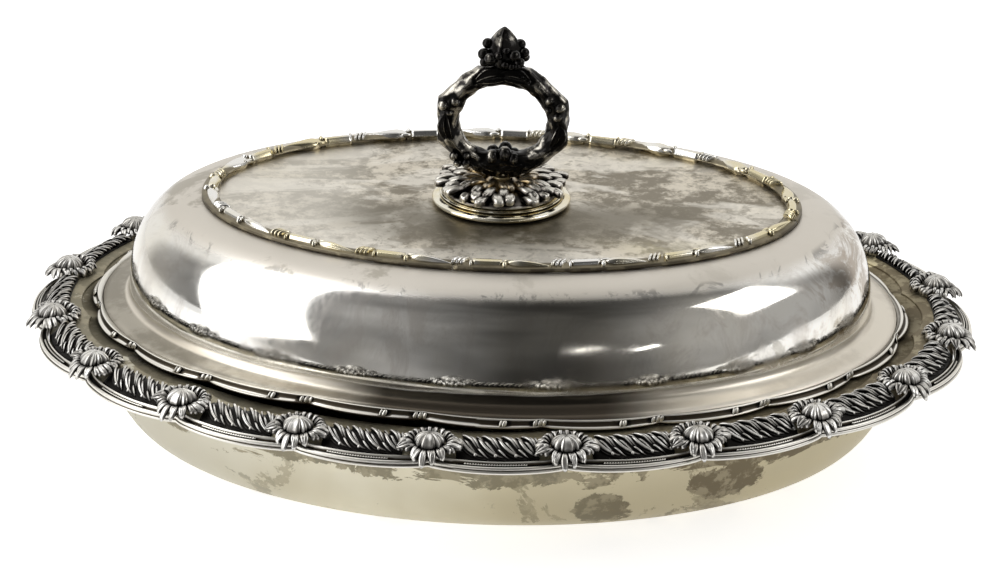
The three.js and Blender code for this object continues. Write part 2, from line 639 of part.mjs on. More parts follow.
// The spun collar under the handle: a broad half-round roll, a groove and a thin neck bead.
function handleCollar() {
  const rollSteps = 5;
  const roll = Array.from({ length: rollSteps + 1 }, (_, i) => {
    const turn = (i / rollSteps - 0.5) * Math.PI;
    return [
      COLLAR_RADIUS - COLLAR_ROLL_WIDTH * (1 - Math.cos(turn)) / 2,
      COLLAR_FOOT + COLLAR_ROLL_HEIGHT * (1 + Math.sin(turn)) / 2,
    ];
  });
  const rollTop = COLLAR_FOOT + COLLAR_ROLL_HEIGHT;
  const top = COLLAR_FOOT + COLLAR_HEIGHT;
  return turned([
    [HOLE_RADIUS, COLLAR_FOOT],
    ...roll,
    [COLLAR_GROOVE_RADIUS, rollTop - COLLAR_GROOVE_DEPTH],
    [COLLAR_GROOVE_RADIUS, rollTop],
    [COLLAR_NECK_RADIUS, (rollTop + top) / 2],
    [COLLAR_GROOVE_RADIUS, top],
    [HOLE_RADIUS, top],
  ], COLLAR_SEGMENTS);
}

// The cast rosette of radial leaves on which the ring stands.
function handleRosette() {
  const count = 2 * ROSETTE_LEAVES;
  const loop = (tipRadius, notchRadius, rise) => Array.from({ length: count }, (_, i) => {
    const turn = (i / count) * 2 * Math.PI;
    const radius = i % 2 === 0 ? tipRadius : notchRadius;
    return new THREE.Vector3(radius * Math.cos(turn), radius * Math.sin(turn), ROSETTE_FOOT + rise);
  });
  const round = (radius, rise) => loop(radius, radius, rise);
  return skin([
    round(HOLE_RADIUS, 0),
    round(COLLAR_GROOVE_RADIUS, 0),
    loop(ROSETTE_RADIUS, ROSETTE_RADIUS - ROSETTE_NOTCH, 0),
    loop(ROSETTE_RADIUS, ROSETTE_RADIUS - ROSETTE_NOTCH, ROSETTE_EDGE_HEIGHT),
    loop(ROSETTE_CREST_RADIUS, ROSETTE_CREST_RADIUS - ROSETTE_NOTCH, ROSETTE_CREST_HEIGHT),
    round(ROSETTE_DISH_RADIUS, ROSETTE_DISH_HEIGHT),
    round(ROSETTE_HUB_RADIUS, ROSETTE_HEIGHT),
    round(HOLE_RADIUS, ROSETTE_HEIGHT),
  ], { joined: true });
}

// The ring that is gripped: a knobbly twig bent into an octagon round an oval finger hole.
function handleRing() {
  const centreHeight = RING_FOOT + RING_HEIGHT / 2;
  const holeWidth = RING_WIDTH - 2 * RING_SIDE_SECTION;
  const holeHeight = RING_HEIGHT - 2 * RING_TOP_SECTION;
  const flat = (2 * Math.PI) / RING_CORNERS;
  const loops = Array.from({ length: RING_STATIONS }, (_, station) => {
    const turn = (station / RING_STATIONS) * 2 * Math.PI;
    const fromFlat = turn - Math.round(turn / flat) * flat;
    const octagon = 1 + RING_CORNER_SHARPNESS * (1 / Math.cos(fromFlat) - 1);
    const bottom = Math.max(-Math.sin(turn), 0) ** RING_KNOT_SHARPNESS;
    const spot = (width, height) => new THREE.Vector2(
      (width / 2) * Math.cos(turn),
      (height / 2) * Math.sin(turn),
    );
    const outer = spot(RING_WIDTH * octagon, RING_HEIGHT * octagon);
    const inner = spot(holeWidth, holeHeight - 2 * RING_KNOT_RISE * bottom);
    const heart = outer.clone().add(inner).divideScalar(2);
    const half = outer.clone().sub(heart);
    const across = (RING_DEPTH / 2) * (1 + RING_KNOT_SWELL * bottom);
    return Array.from({ length: RING_SIDES }, (__, side) => {
      const around = (side / RING_SIDES) * 2 * Math.PI;
      const at = heart.clone().addScaledVector(half, Math.cos(around));
      return new THREE.Vector3(at.x, across * Math.sin(around), centreHeight + at.y);
    });
  });
  return skin(loops, { joined: true });
}

// The finial: a pointed leaf bud in a ring of berries.
function handleFinial() {
  const outline = new THREE.SplineCurve([
    new THREE.Vector2(FINIAL_BUD_FOOT_RADIUS, 0),
    new THREE.Vector2(FINIAL_BUD_RADIUS, FINIAL_HEIGHT * FINIAL_BUD_BELLY),
    new THREE.Vector2(FINIAL_BUD_RADIUS / 2, FINIAL_HEIGHT * (1 + FINIAL_BUD_BELLY) / 2),
    new THREE.Vector2(0, FINIAL_HEIGHT),
  ]);
  const profile = outline.getPoints(FINIAL_BUD_STEPS).map(({ x, y }) => [Math.max(x, 0), y]);
  const bud = turned([[0, 0], ...profile], FINIAL_BUD_SEGMENTS);
  let cluster = toManifold(bud);
  for (let berry = 0; berry < FINIAL_BERRIES; berry += 1) {
    const turn = ((berry + 0.5) / FINIAL_BERRIES) * 2 * Math.PI;
    const ball = new THREE.IcosahedronGeometry(FINIAL_BERRY_RADIUS, 1);
    ball.deleteAttribute("uv");
    ball.deleteAttribute("normal");
    const round = mergeVertices(ball, MERGE_DISTANCE);
    round.translate(
      FINIAL_BERRY_CIRCLE * Math.cos(turn),
      FINIAL_BERRY_CIRCLE * Math.sin(turn),
      FINIAL_BERRY_RADIUS,
    );
    cluster = cluster.add(toManifold(round));
  }
  const finial = fromManifold(cluster);
  finial.translate(0, 0, FINIAL_FOOT);
  return finial;
}

// The threaded stud that holds the handle to the lid.
function handleStud() {
  const foot = PLATEAU_HEIGHT - SHEET - STUD_REACH_BELOW_SHEET;
  const length = STUD_TOP - foot;
  const stud = new THREE.CylinderGeometry(STUD_RADIUS, STUD_RADIUS, length, STUD_SEGMENTS);
  stud.rotateX(Math.PI / 2);
  stud.translate(0, 0, (STUD_TOP + foot) / 2);
  stud.deleteAttribute("uv");
  stud.deleteAttribute("normal");
  const merged = mergeVertices(stud, MERGE_DISTANCE);
  merged.computeVertexNormals();
  return merged;
}

const object = new THREE.Group();

const dish = new THREE.Group();
dish.add(part("dish_body", dishBody(), "satin"));
dish.add(part("dish_edge_bead", dishEdgeBead(), "bright"));
for (let lobe = 0; lobe < LOBES; lobe += 1) {
  const number = String(lobe + 1).padStart(2, "0");
  const cusp = lobe * STATIONS_PER_LOBE + STATIONS_PER_LOBE / 2;
  dish.add(part(`rim_flower_${number}`, flower(dishAngles[cusp]), "oxidised"));
  dish.add(part(`rim_garland_${number}`, garland(lobe), "oxidised"));
}
object.add(dish);

const lid = new THREE.Group();
lid.position.x = LID_SHIFT;
lid.rotation.z = THREE.MathUtils.degToRad(LID_TURN_DEG);
lid.add(part("lid_shell", lidShell(), "bright"));
lid.add(part("lid_edge_moulding", lidEdgeMoulding(), "bright"));
for (let strip = 0; strip < BORDER_STRIPS; strip += 1) {
  lid.add(part(`lid_foot_border_${strip + 1}`, borderStrip(strip), "oxidised"));
}
lid.add(part("lid_bush", lidBush(), "brass"));

const handle = new THREE.Group();
handle.add(part("handle_collar", handleCollar(), "brass"));
handle.add(part("handle_rosette", handleRosette(), "twig"));
handle.add(part("handle_ring", handleRing(), "twig"));
handle.add(part("handle_finial", handleFinial(), "twig"));
handle.add(part("handle_stud", handleStud(), "brass"));
lid.add(handle);
object.add(lid);

export default object;
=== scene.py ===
import math

import bmesh
import bpy
import numpy as np
from bpy.props import FloatProperty, FloatVectorProperty, IntProperty, PointerProperty
from mathutils import Matrix, Vector
from mathutils.bvhtree import BVHTree


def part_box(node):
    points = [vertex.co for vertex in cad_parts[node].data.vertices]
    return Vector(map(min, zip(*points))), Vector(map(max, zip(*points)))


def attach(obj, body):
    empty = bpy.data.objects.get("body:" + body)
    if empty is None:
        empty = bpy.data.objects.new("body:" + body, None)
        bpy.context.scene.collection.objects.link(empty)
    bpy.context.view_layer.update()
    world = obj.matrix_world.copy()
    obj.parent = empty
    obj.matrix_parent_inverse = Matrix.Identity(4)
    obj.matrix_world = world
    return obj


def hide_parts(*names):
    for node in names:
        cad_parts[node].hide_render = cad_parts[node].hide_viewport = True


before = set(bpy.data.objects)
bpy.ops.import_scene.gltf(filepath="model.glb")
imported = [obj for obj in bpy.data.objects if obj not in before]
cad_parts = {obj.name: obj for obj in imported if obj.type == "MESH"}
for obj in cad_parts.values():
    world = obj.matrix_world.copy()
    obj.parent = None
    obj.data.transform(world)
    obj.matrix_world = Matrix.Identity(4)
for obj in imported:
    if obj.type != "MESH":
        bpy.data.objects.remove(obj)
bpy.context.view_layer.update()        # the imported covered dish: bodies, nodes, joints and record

bl_info = {
    "name": "Covered Vegetable Dish",
    "version": (1, 0, 0),
    "blender": (4, 5, 0),
    "location": "3D View > Sidebar > Covered Dish",
    "description": "Dresses a silver-plated covered dish: bowl, lid, cast mounts and ring handle",
    "category": "Add Mesh",
}

MM = 0.001
TURN = 2 * math.pi

# The dish, in millimetres, as its solids are built
LOBES = 20
FIT_GAP = 0.3
SHEET = 1.2
CREST_INSET = 1.5
MOUTH_INSET = 9.0
MOUTH_LOBE_DEPTH = 3.0
MOUTH_DROP = 0.7
SEAT_DROP = 1.0
FLANGE_REACH = 4.6
FLANGE_LOBE_DEPTH = 3.5
FLANGE_FALL = 3.6
LOBE_ROUNDNESS = 0.7
BOWL_INSET = (16.0, 14.0)
BOWL_CURVE_REACH = 28.0
BOWL_CURVE_POWER = 2.6
LID_TURN = math.radians(-2.4)
LID_SHIFT = -1.0
LID_STRETCH = 36.7
LID_FLANGE = (133.0, 44.3)
LID_COVE = (126.5, 45.7)
LID_WALL_FOOT = (124.1, 49.7)
LID_TOP = (100.0, 79.9)
PLATEAU = (93.5, 79.7)
HOLE_RADIUS = 3.3
EDGE_LIFT = 1.9
EDGE_LIFT_AT = 250.0
EDGE_LIFT_SPREAD = 24.0


# What the properties of one kind share
A_LENGTH = {"unit": "LENGTH", "subtype": "DISTANCE"}
AN_ANGLE = {"unit": "ROTATION", "subtype": "ANGLE"}
A_COLOUR = {"size": 3, "subtype": "COLOR", "min": 0.0, "max": 1.0}


class DishSizes(bpy.types.PropertyGroup):
    rim_half_length: FloatProperty(
        name="Rim half-length", description="From the centre to the flowers, along the dish",
        default=0.150, **A_LENGTH)
    rim_half_width: FloatProperty(
        name="Rim half-width", description="From the centre to the flowers, across the dish",
        default=0.114, **A_LENGTH)
    rim_height: FloatProperty(
        name="Rim height", description="Crest of the flange above the table", default=0.0432, **A_LENGTH)
    bud_ribs: IntProperty(
        name="Ribs of a bud", description="Folded petals of each flower's bud", default=11, min=5)
    garland_leaves: IntProperty(
        name="Leaves of a garland", description="Leaves between two flowers", default=4, min=2)


class DishColours(bpy.types.PropertyGroup):
    silver: FloatVectorProperty(
        name="Silver", description="Clean silver plate", default=(0.86, 0.85, 0.82), **A_COLOUR)
    aged_silver: FloatVectorProperty(
        name="Aged silver", description="Silver plate with a warm film",
        default=(0.80, 0.76, 0.66), **A_COLOUR)
    tarnish: FloatVectorProperty(
        name="Tarnish", description="Grey-green patches", default=(0.20, 0.19, 0.15), **A_COLOUR)
    oxide: FloatVectorProperty(
        name="Oxide", description="Black in the recesses of the ornament",
        default=(0.015, 0.014, 0.013), **A_COLOUR)
    brass: FloatVectorProperty(
        name="Brass", description="Worn plate and bare brass", default=(0.74, 0.63, 0.38), **A_COLOUR)


class DishStudio(bpy.types.PropertyGroup):
    camera_distance: FloatProperty(
        name="Camera distance", description="From the camera to the point that it looks at",
        default=1.150, **A_LENGTH)
    camera_elevation: FloatProperty(
        name="Camera elevation", description="Above the horizon", default=math.radians(22.74), **AN_ANGLE)
    camera_azimuth: FloatProperty(
        name="Camera azimuth", description="Round the dish, towards its right-hand end",
        default=math.radians(0.233), **AN_ANGLE)
    camera_roll: FloatProperty(
        name="Camera roll", description="The right-hand side hangs a little lower",
        default=math.radians(1.198), **AN_ANGLE)
    lens: FloatProperty(
        name="Lens", description="Focal length in millimetres, on a sensor 36 mm wide", default=123.37)
    key_strength: FloatProperty(
        name="Window light", description="Power of the large light on the left", default=6.0, unit="POWER")
    fill_strength: FloatProperty(
        name="Fill light", description="Power of the light on the right", default=0.95, unit="POWER")
    top_strength: FloatProperty(
        name="Tube light", description="Power of the long light overhead", default=0.55, unit="POWER")
    spark_strength: FloatProperty(
        name="Small lights", description="Power of each small light in front", default=0.06, unit="POWER")


# Mesh tools

# Depth and reach of the dimple in a berry of radius 1
DIMPLE = 0.10
DIMPLE_REACH = 0.25
# Share of its openness that a corner keeps where nothing rubs it, and where it lies low on a flat unit
UNRUBBED = 0.45
LOW_DOWN = 0.35


def deselect():
    if bpy.context.mode != "OBJECT":
        bpy.ops.object.mode_set(mode="OBJECT")
    bpy.ops.object.select_all(action="DESELECT")


def move_ring(piece, outline):
    """Moves the selected ring of corners to its outline."""
    mesh = bmesh.from_edit_mesh(piece.data)
    station = mesh.verts.layers.int["station"]
    for corner in mesh.verts:
        if corner.select:
            corner.co = outline[corner[station]]
    bmesh.update_edit_mesh(piece.data)


def loft(name, rings, joined=False):
    """A circle, extruded from ring to ring, with each ring moved to its own outline. The last ring is
    joined to the first, or else each end is drawn in to a pole."""
    rings = [np.asarray(ring, float) for ring in rings]
    count = len(rings[0])
    deselect()
    fill = "NOTHING" if joined else "TRIFAN"
    bpy.ops.mesh.primitive_circle_add(vertices=count, radius=1.0, fill_type=fill)
    piece = bpy.context.object
    piece.name = name
    piece.data.name = name
    bpy.ops.object.mode_set(mode="EDIT")
    bpy.ops.mesh.select_mode(type="VERT")
    mesh = bmesh.from_edit_mesh(piece.data)
    station = mesh.verts.layers.int.new("station")
    for corner in mesh.verts:
        on_circle = corner.co.length > 0.5
        if on_circle:
            turn = math.atan2(corner.co.y, corner.co.x) / TURN
            corner[station] = round(turn * count) % count
        else:
            corner.co = rings[0].mean(axis=0)
        corner.select = on_circle
    mesh.select_flush_mode()
    bmesh.update_edit_mesh(piece.data)
    move_ring(piece, rings[0])
    for ring in [*rings[1:], rings[0]] if joined else rings[1:]:
        bpy.ops.mesh.extrude_edges_move()
        move_ring(piece, ring)
    if joined:
        bpy.ops.mesh.select_all(action="SELECT")
        bpy.ops.mesh.remove_doubles(threshold=1e-7)
    else:
        bpy.ops.mesh.extrude_edges_move()
        bpy.ops.mesh.merge(type="CENTER")
    bpy.ops.mesh.select_all(action="SELECT")
    bpy.ops.mesh.normals_make_consistent(inside=False)
    bpy.ops.object.mode_set(mode="OBJECT")
    bpy.ops.object.shade_smooth()
    set_values(piece, "crest", 1.0)
    return piece


def set_values(piece, name, values):
    """Stores a value for each corner of a piece."""
    layer = piece.data.attributes.get(name) or piece.data.attributes.new(name, "FLOAT", "POINT")
    layer.data.foreach_set("value", np.broadcast_to(values, len(piece.data.vertices)).astype(float))


def corners_of(piece):
    flat = np.empty(3 * len(piece.data.vertices))
    piece.data.vertices.foreach_get("co", flat)
    return flat.reshape(-1, 3)


def set_corners(piece, corners):
    piece.data.vertices.foreach_set("co", np.asarray(corners, float).ravel())
    piece.data.update()


def copied(piece, name, place):
    """A copy of a piece with its own mesh, each corner moved by place()."""
    copy = piece.copy()
    copy.data = piece.data.copy()
    copy.name = name
    copy.data.name = name
    bpy.context.scene.collection.objects.link(copy)
    set_corners(copy, place(corners_of(piece)))
    return copy


def joined(name, pieces):
    """Several pieces joined into one mesh."""
    deselect()
    for piece in pieces:
        piece.select_set(True)
    bpy.context.view_layer.objects.active = pieces[0]
    bpy.ops.object.join()
    piece = bpy.context.object
    piece.name = name
    piece.data.name = name
    return piece


def discard(*pieces):
    for piece in pieces:
        bpy.data.meshes.remove(piece.data)


def round_ring(radius, height, sides):
    """A ring of points round the upright axis; radius and height may differ from point to point."""
    turn = np.arange(sides) / sides * TURN
    return np.column_stack([radius * np.cos(turn), radius * np.sin(turn), np.broadcast_to(height, sides)])


def berry(name, centre, radius, shape, segments, rings):
    """A berry with a dimple at its poles, shaped from a sphere."""
    deselect()
    bpy.ops.mesh.primitive_uv_sphere_add(segments=segments, ring_count=rings, radius=1.0)
    piece = bpy.context.object
    piece.name = name
    corners = corners_of(piece)
    from_tip = np.hypot(corners[:, 0], corners[:, 1])
    corners[:, 2] -= DIMPLE * np.exp(-(from_tip / DIMPLE_REACH) ** 2) * np.sign(corners[:, 2])
    set_corners(piece, corners * radius * np.array(shape) + np.array(centre))
    bpy.ops.object.shade_smooth()
    set_values(piece, "crest", 1.0)
    return piece


def mark_recesses(piece, reach, rays=48, rubbed=None):
    """Stores how open to the air each corner is, from 0 in a deep recess to 1 on a crest. It counts
    the rays that meet nothing within reach; rubbed gives the heights between which a flat unit goes
    from black to bright."""
    tree = BVHTree.FromPolygons(
        [v.co for v in piece.data.vertices], [p.vertices for p in piece.data.polygons])
    golden_turn = math.pi * (3 - math.sqrt(5))
    height = (np.arange(rays) + 0.5) / rays
    spread = np.sqrt(1 - height ** 2)
    turns = np.arange(rays) * golden_turn
    fan = [Vector(d) for d in zip(spread * np.cos(turns), spread * np.sin(turns), height)]
    openness = []
    for corner in piece.data.vertices:
        normal = corner.normal
        to_normal = Vector((0, 0, 1)).rotation_difference(normal).to_matrix()
        origin = corner.co + normal * (reach * 0.02)
        hits = sum(tree.ray_cast(origin, to_normal @ ray, reach)[0] is not None for ray in fan)
        openness.append(1 - hits / rays)
    openness = np.array(openness)
    if rubbed:
        share = np.clip((corners_of(piece)[:, 2] - rubbed[0]) / (rubbed[1] - rubbed[0]), 0, 1)
        openness = openness * (LOW_DOWN + (1 - LOW_DOWN) * share)
    crest = np.empty(len(openness))
    piece.data.attributes["crest"].data.foreach_get("value", crest)
    set_values(piece, "open", openness * (UNRUBBED + (1 - UNRUBBED) * crest))


# The ovals and lobes of the dish

class Oval:
    """An oval cut into equal lengths, so that ornament keeps its size all the way round."""

    def __init__(self, half_length, half_width, steps=20000):
        self.half_length = half_length
        self.half_width = half_width
        angle = np.linspace(0, TURN, steps + 1)
        middle = (angle[1:] + angle[:-1]) / 2
        step = np.hypot(half_length * np.sin(middle), half_width * np.cos(middle)) * TURN / steps
        lengths = np.concatenate([[0.0], np.cumsum(step)])
        self.length = lengths[-1]
        self.shares = lengths / lengths[-1]
        self.angle_at_share = angle

    def angles(self, share):
        share = np.asarray(share, float)
        whole = np.floor(share)
        return np.interp(share - whole, self.shares, self.angle_at_share) + TURN * whole

    def place(self, angle, outward, height):
        """Points at angles of the oval, moved outwards square to it."""
        angle, outward, height = np.broadcast_arrays(angle, outward, height)
        normal = np.stack([np.cos(angle) / self.half_length, np.sin(angle) / self.half_width], -1)
        normal = normal / np.linalg.norm(normal, axis=-1, keepdims=True)
        x = self.half_length * np.cos(angle) + normal[..., 0] * outward
        y = self.half_width * np.sin(angle) + normal[..., 1] * outward
        return np.stack([x, y, height], -1)


def lobe_share(lobe):
    """0 in the middle of a lobe and 1 at a cusp."""
    from_middle = np.abs(np.mod(np.asarray(lobe, float) + 0.5, 1) - 0.5)
    return 1 - np.cos(np.pi * from_middle) ** LOBE_ROUNDNESS


def mouth_offset(lobe):
    return -MOUTH_INSET - MOUTH_LOBE_DEPTH * lobe_share(lobe)


def flange_edge(lobe):
    return FLANGE_REACH - FLANGE_LOBE_DEPTH * lobe_share(lobe)


def flange_top(lobe, outward, rim_height):
    """Height of the flange's top at a distance outside the oval of flowers."""
    from_crest = np.asarray(outward, float) + CREST_INSET
    inner = MOUTH_DROP * from_crest / (MOUTH_INSET - CREST_INSET)
    outer = -FLANGE_FALL * from_crest / (flange_edge(lobe) + CREST_INSET)
    return rim_height + np.where(from_crest < 0, inner, outer)


def rim_oval(sizes):
    return Oval(sizes.rim_half_length / MM, sizes.rim_half_width / MM)


def round_lobes(per_lobe):
    """Places round the rim, counted in lobes."""
    return np.arange(LOBES * per_lobe) / per_lobe


def set_round_rim(unit, seat, prefix, sizes):
    """Sets a copy of a unit at each lobe of the rim, for the nodes with this prefix."""
    rim = rim_oval(sizes)
    for number in range(LOBES):
        node = f"{prefix}_{number + 1:02d}"
        piece = copied(unit, node, seat(rim, number, sizes.rim_height / MM))
        dress(piece, "oxidised_ornament", "dish", node)
    discard(unit)


def lobed_moulding(name, section, per_lobe, lay, unit, pitch):
    """A section carried round the lobes, with a copy of a flat unit on each. lay() takes places in
    lobes, outwards and upwards."""
    lobe = round_lobes(per_lobe)
    outwards, ups, rubbing_and_shade = zip(*section)
    rings = [lay(lobe, outward, up) for outward, up in zip(outwards, ups)]
    pieces = [loft(name, rings, joined=True)]
    # The section's last column: how rubbed each ring is, and painted shade where a section darkens it
    set_values(pieces[0], "crest", np.repeat(rubbing_and_shade, len(lobe)))
    for number in range(LOBES):
        def place(points, number=number):
            x, y, z = points.T
            return lay(number + y / pitch, x, z)
        pieces.append(copied(unit, f"unit_{number}", place))
    discard(unit)
    return joined(name, pieces)


def on_lid(points):
    """Millimetres of the lid, or of what stands on it, in metres at its turned and shifted place."""
    points = np.asarray(points, float)
    cos, sin = math.cos(LID_TURN), math.sin(LID_TURN)
    turned = points @ np.array([(cos, sin, 0), (-sin, cos, 0), (0, 0, 1)])
    return (turned + (LID_SHIFT, 0, 0)) * MM


def edge_lift(angle):
    """How far the lid's edge is bent up at an angle of its oval: it is bent at the front left."""
    from_bend = np.degrees(np.mod(angle, TURN)) - EDGE_LIFT_AT
    return EDGE_LIFT * np.exp(-(from_bend / EDGE_LIFT_SPREAD) ** 2)


def bezier(a, b, c, d, count):
    t = np.linspace(0, 1, count)[:, None]
    a, b, c, d = (np.asarray(p, float) for p in (a, b, c, d))
    return a * (1 - t) ** 3 + 3 * b * t * (1 - t) ** 2 + 3 * c * t ** 2 * (1 - t) + d * t ** 3


# Finishes

class Nodes:
    """A tree of shader nodes under construction."""

    def __init__(self, tree, coordinates):
        self.tree = tree
        self.tree.nodes.clear()
        self.where = self.node("ShaderNodeTexCoord").outputs[coordinates]

    def node(self, kind, settings=None, **sockets):
        node = self.tree.nodes.new(kind)
        for name, value in (settings or {}).items():
            setattr(node, name, value)
        for name, value in sockets.items():
            self.feed(node.inputs[name.replace("_", " ")], value)
        return node

    def feed(self, socket, value):
        if isinstance(value, bpy.types.NodeSocket):
            self.tree.links.new(value, socket)
        else:
            socket.default_value = value

    def axes(self):
        return self.node("ShaderNodeSeparateXYZ", Vector=self.where).outputs

    def maths(self, operation, first, second=0.0):
        node = self.tree.nodes.new("ShaderNodeMath")
        node.operation = operation
        self.feed(node.inputs[0], first)
        self.feed(node.inputs[1], second)
        return node.outputs[0]

    def times(self, *factors):
        product = factors[0]
        for factor in factors[1:]:
            product = self.maths("MULTIPLY", product, factor)
        return product

    def plus(self, *terms):
        total = terms[0]
        for term in terms[1:]:
            total = self.maths("ADD", total, term)
        return total

    def noise(self, scale, detail=3.0, roughness=0.5, distortion=0.0, stretch=(1, 1, 1)):
        where = self.node("ShaderNodeMapping", Vector=self.where, Scale=stretch).outputs[0]
        node = self.node("ShaderNodeTexNoise", Vector=where, Scale=scale, Detail=detail,
                         Roughness=roughness, Distortion=distortion)
        return node.outputs["Fac"]

    def step(self, value, low, high, bottom=0.0, top=1.0):
        """A smooth step from bottom to top as the value goes from low to high."""
        node = self.tree.nodes.new("ShaderNodeMapRange")
        node.interpolation_type = "SMOOTHSTEP"
        for socket, number in zip(node.inputs, (value, low, high, bottom, top)):
            self.feed(socket, number)
        return node.outputs[0]

    def band(self, value, low, high, soft):
        """1 between two values and 0 outside them."""
        rising = self.step(value, low - soft, low + soft)
        return self.times(rising, self.step(value, high + soft, high - soft))

    def length(self, first, second):
        """The length of two sides of a right angle."""
        return self.maths("SQRT", self.plus(self.times(first, first), self.times(second, second)))

    def mix(self, share, first, second):
        """A blend of two colours."""
        node = self.tree.nodes.new("ShaderNodeMix")
        node.data_type = "RGBA"
        self.feed(node.inputs[0], share)
        self.feed(node.inputs[6], colour(first))
        self.feed(node.inputs[7], colour(second))
        return node.outputs[2]

    def blend(self, share, first, second):
        """A blend of two numbers."""
        node = self.tree.nodes.new("ShaderNodeMix")
        self.feed(node.inputs[0], share)
        self.feed(node.inputs[2], first)
        self.feed(node.inputs[3], second)
        return node.outputs[0]


class Finish(Nodes):
    """A material under construction."""

    def __init__(self, name):
        self.material = bpy.data.materials.new(f"{name}_finish")
        self.material.use_nodes = True
        super().__init__(self.material.node_tree, "Object")

    def openness(self):
        """How open to the air the surface is: low in the recesses of the ornament."""
        return self.node("ShaderNodeAttribute", {"attribute_name": "open"}).outputs["Fac"]

    def bump(self, height, strength, distance, normal=None):
        node = self.node("ShaderNodeBump", Strength=strength, Distance=distance, Height=height)
        if normal is not None:
            self.feed(node.inputs["Normal"], normal)
        return node.outputs[0]

    def finish(self, base, roughness, normal):
        surface = self.node("ShaderNodeBsdfPrincipled", Base_Color=base, Roughness=roughness,
                            Metallic=1.0, Normal=normal)
        self.node("ShaderNodeOutputMaterial", Surface=surface.outputs[0])
        return self.material


def colour(value):
    if isinstance(value, bpy.types.NodeSocket):
        return value
    return (*tuple(value)[:3], 1.0)


# Patches of film on the bowl's front: place along it, height, half-length and half-height, in metres
BOWL_PATCHES = (
    (0.073, 0.018, 0.011, 0.0075), (0.032, 0.012, 0.0085, 0.007), (0.095, 0.028, 0.006, 0.004))


def satin_plate(colours):
    """The outside of the bowl: satin plate, yellower to the right, flaking under the rim."""
    f = Finish("satin_plate")
    along, depth, height = f.axes()
    cloud = f.noise(16, 5, 0.6)
    yellow = f.step(f.plus(along, f.times(cloud, 0.12)), -0.06, 0.14)
    base = f.mix(yellow, (0.84, 0.81, 0.69), (0.62, 0.55, 0.36))
    base = f.mix(f.step(f.noise(7, 4, 0.6, 0.4), 0.42, 0.68), base, (0.57, 0.51, 0.36))
    # Painted shade: the bowl's colour is darkened towards its far left end
    base = f.mix(f.step(along, -0.05, -0.11, 0.0, 0.7), base, (0.50, 0.47, 0.38))

    under_rim = f.step(height, 0.012, 0.029)
    torn = f.plus(f.noise(60, 8, 0.68, 0.6, (0.55, 0.55, 1.3)), f.times(under_rim, 0.34),
                  f.times(cloud, 0.22))
    dark = f.step(torn, 0.855, 0.868)
    spots = f.plus(f.noise(34, 9, 0.7, 0.5), f.step(along, 0.01, 0.06, 0.0, 0.05))
    spots = f.times(f.step(spots, 0.60, 0.615), 0.6)
    ragged = f.times(f.noise(90, 8, 0.72), 2.4)
    front = f.step(depth, 0.0, -0.01)
    for x, z, half_length, half_height in BOWL_PATCHES:
        across = f.times(f.plus(along, -x), 1 / half_length)
        up = f.times(f.plus(height, -z), 1 / half_height)
        patch = f.step(f.plus(f.length(across, up), ragged), 2.25, 2.15)
        dark = f.maths("MAXIMUM", dark, f.times(patch, front))
    dark = f.times(f.maths("MAXIMUM", dark, spots), 0.8)

    film = f.mix(f.noise(45, 3), colours.tarnish, (0.24, 0.20, 0.11))
    film = f.mix(f.step(along, 0.02, 0.06), film, (0.13, 0.10, 0.06))
    film = f.mix(f.times(f.step(f.noise(160, 5, 0.7), 0.46, 0.58), 0.7), film, (0.42, 0.37, 0.26))
    grain = f.noise(1400, 2, 0.5, 0, (1, 1, 0.25))
    roughness = f.blend(dark, f.blend(cloud, 0.30, 0.42), 0.6)
    relief = f.bump(dark, 0.25, 0.0002)
    return f.finish(f.mix(dark, base, film), roughness, f.bump(grain, 0.10, 0.0001, relief))


# Where the lid's finishes meet, in metres: heights, then half-length and half-width of its flat top
FLANGE_TO_COVE = (0.0464, 0.0459)
COVE_TO_WALL = (0.0500, 0.0495)
WALL_TO_SHOULDER = (0.0745, 0.0778)
SHOULDER_TO_TOP = (0.078, 0.0792)
TOP_HALF = (0.0965, 0.0598)


def lid_top(f, from_middle):
    """Colour of the lid's flat top: film in patches, grains, and painted shade before the handle."""
    along, depth, _ = f.axes()
    worn = f.step(f.noise(20, 8, 0.6, 1.2, (0.45, 1.1, 1)), 0.46, 0.53)
    mottle = f.plus(f.times(f.noise(55, 6, 0.7), 0.5), f.times(f.noise(210, 5, 0.7), 0.5))
    top = f.mix(f.step(mottle, 0.44, 0.57), (0.25, 0.22, 0.165), (0.70, 0.645, 0.545))
    top = f.mix(f.times(worn, 0.72), top, (0.86, 0.82, 0.74))
    top = f.mix(f.times(f.step(f.noise(10, 3, 0.5, 1.0), 0.48, 0.72), 0.35), top, (0.70, 0.63, 0.38))
    top = f.mix(f.times(f.step(f.noise(90, 6, 0.65, 0.8), 0.54, 0.64), 0.55), top, (0.26, 0.23, 0.18))
    grains = f.times(f.step(f.noise(380, 4, 0.7), 0.54, 0.66), f.step(f.noise(24, 4), 0.40, 0.60), 0.6)
    top = f.mix(grains, top, (0.20, 0.17, 0.12))
    # Painted shade: a dark place on the top in front of the handle
    painted_shade_before_handle = f.times(f.step(from_middle, 0.70, 0.20), f.step(depth, 0.008, -0.012),
                          f.step(f.noise(30, 5, 0.6), 0.28, 0.50))
    top = f.mix(f.times(painted_shade_before_handle, 0.85), top, (0.15, 0.13, 0.09))
    return f.mix(f.times(f.step(along, -0.035, -0.065), 0.5), top, (0.84, 0.81, 0.74))


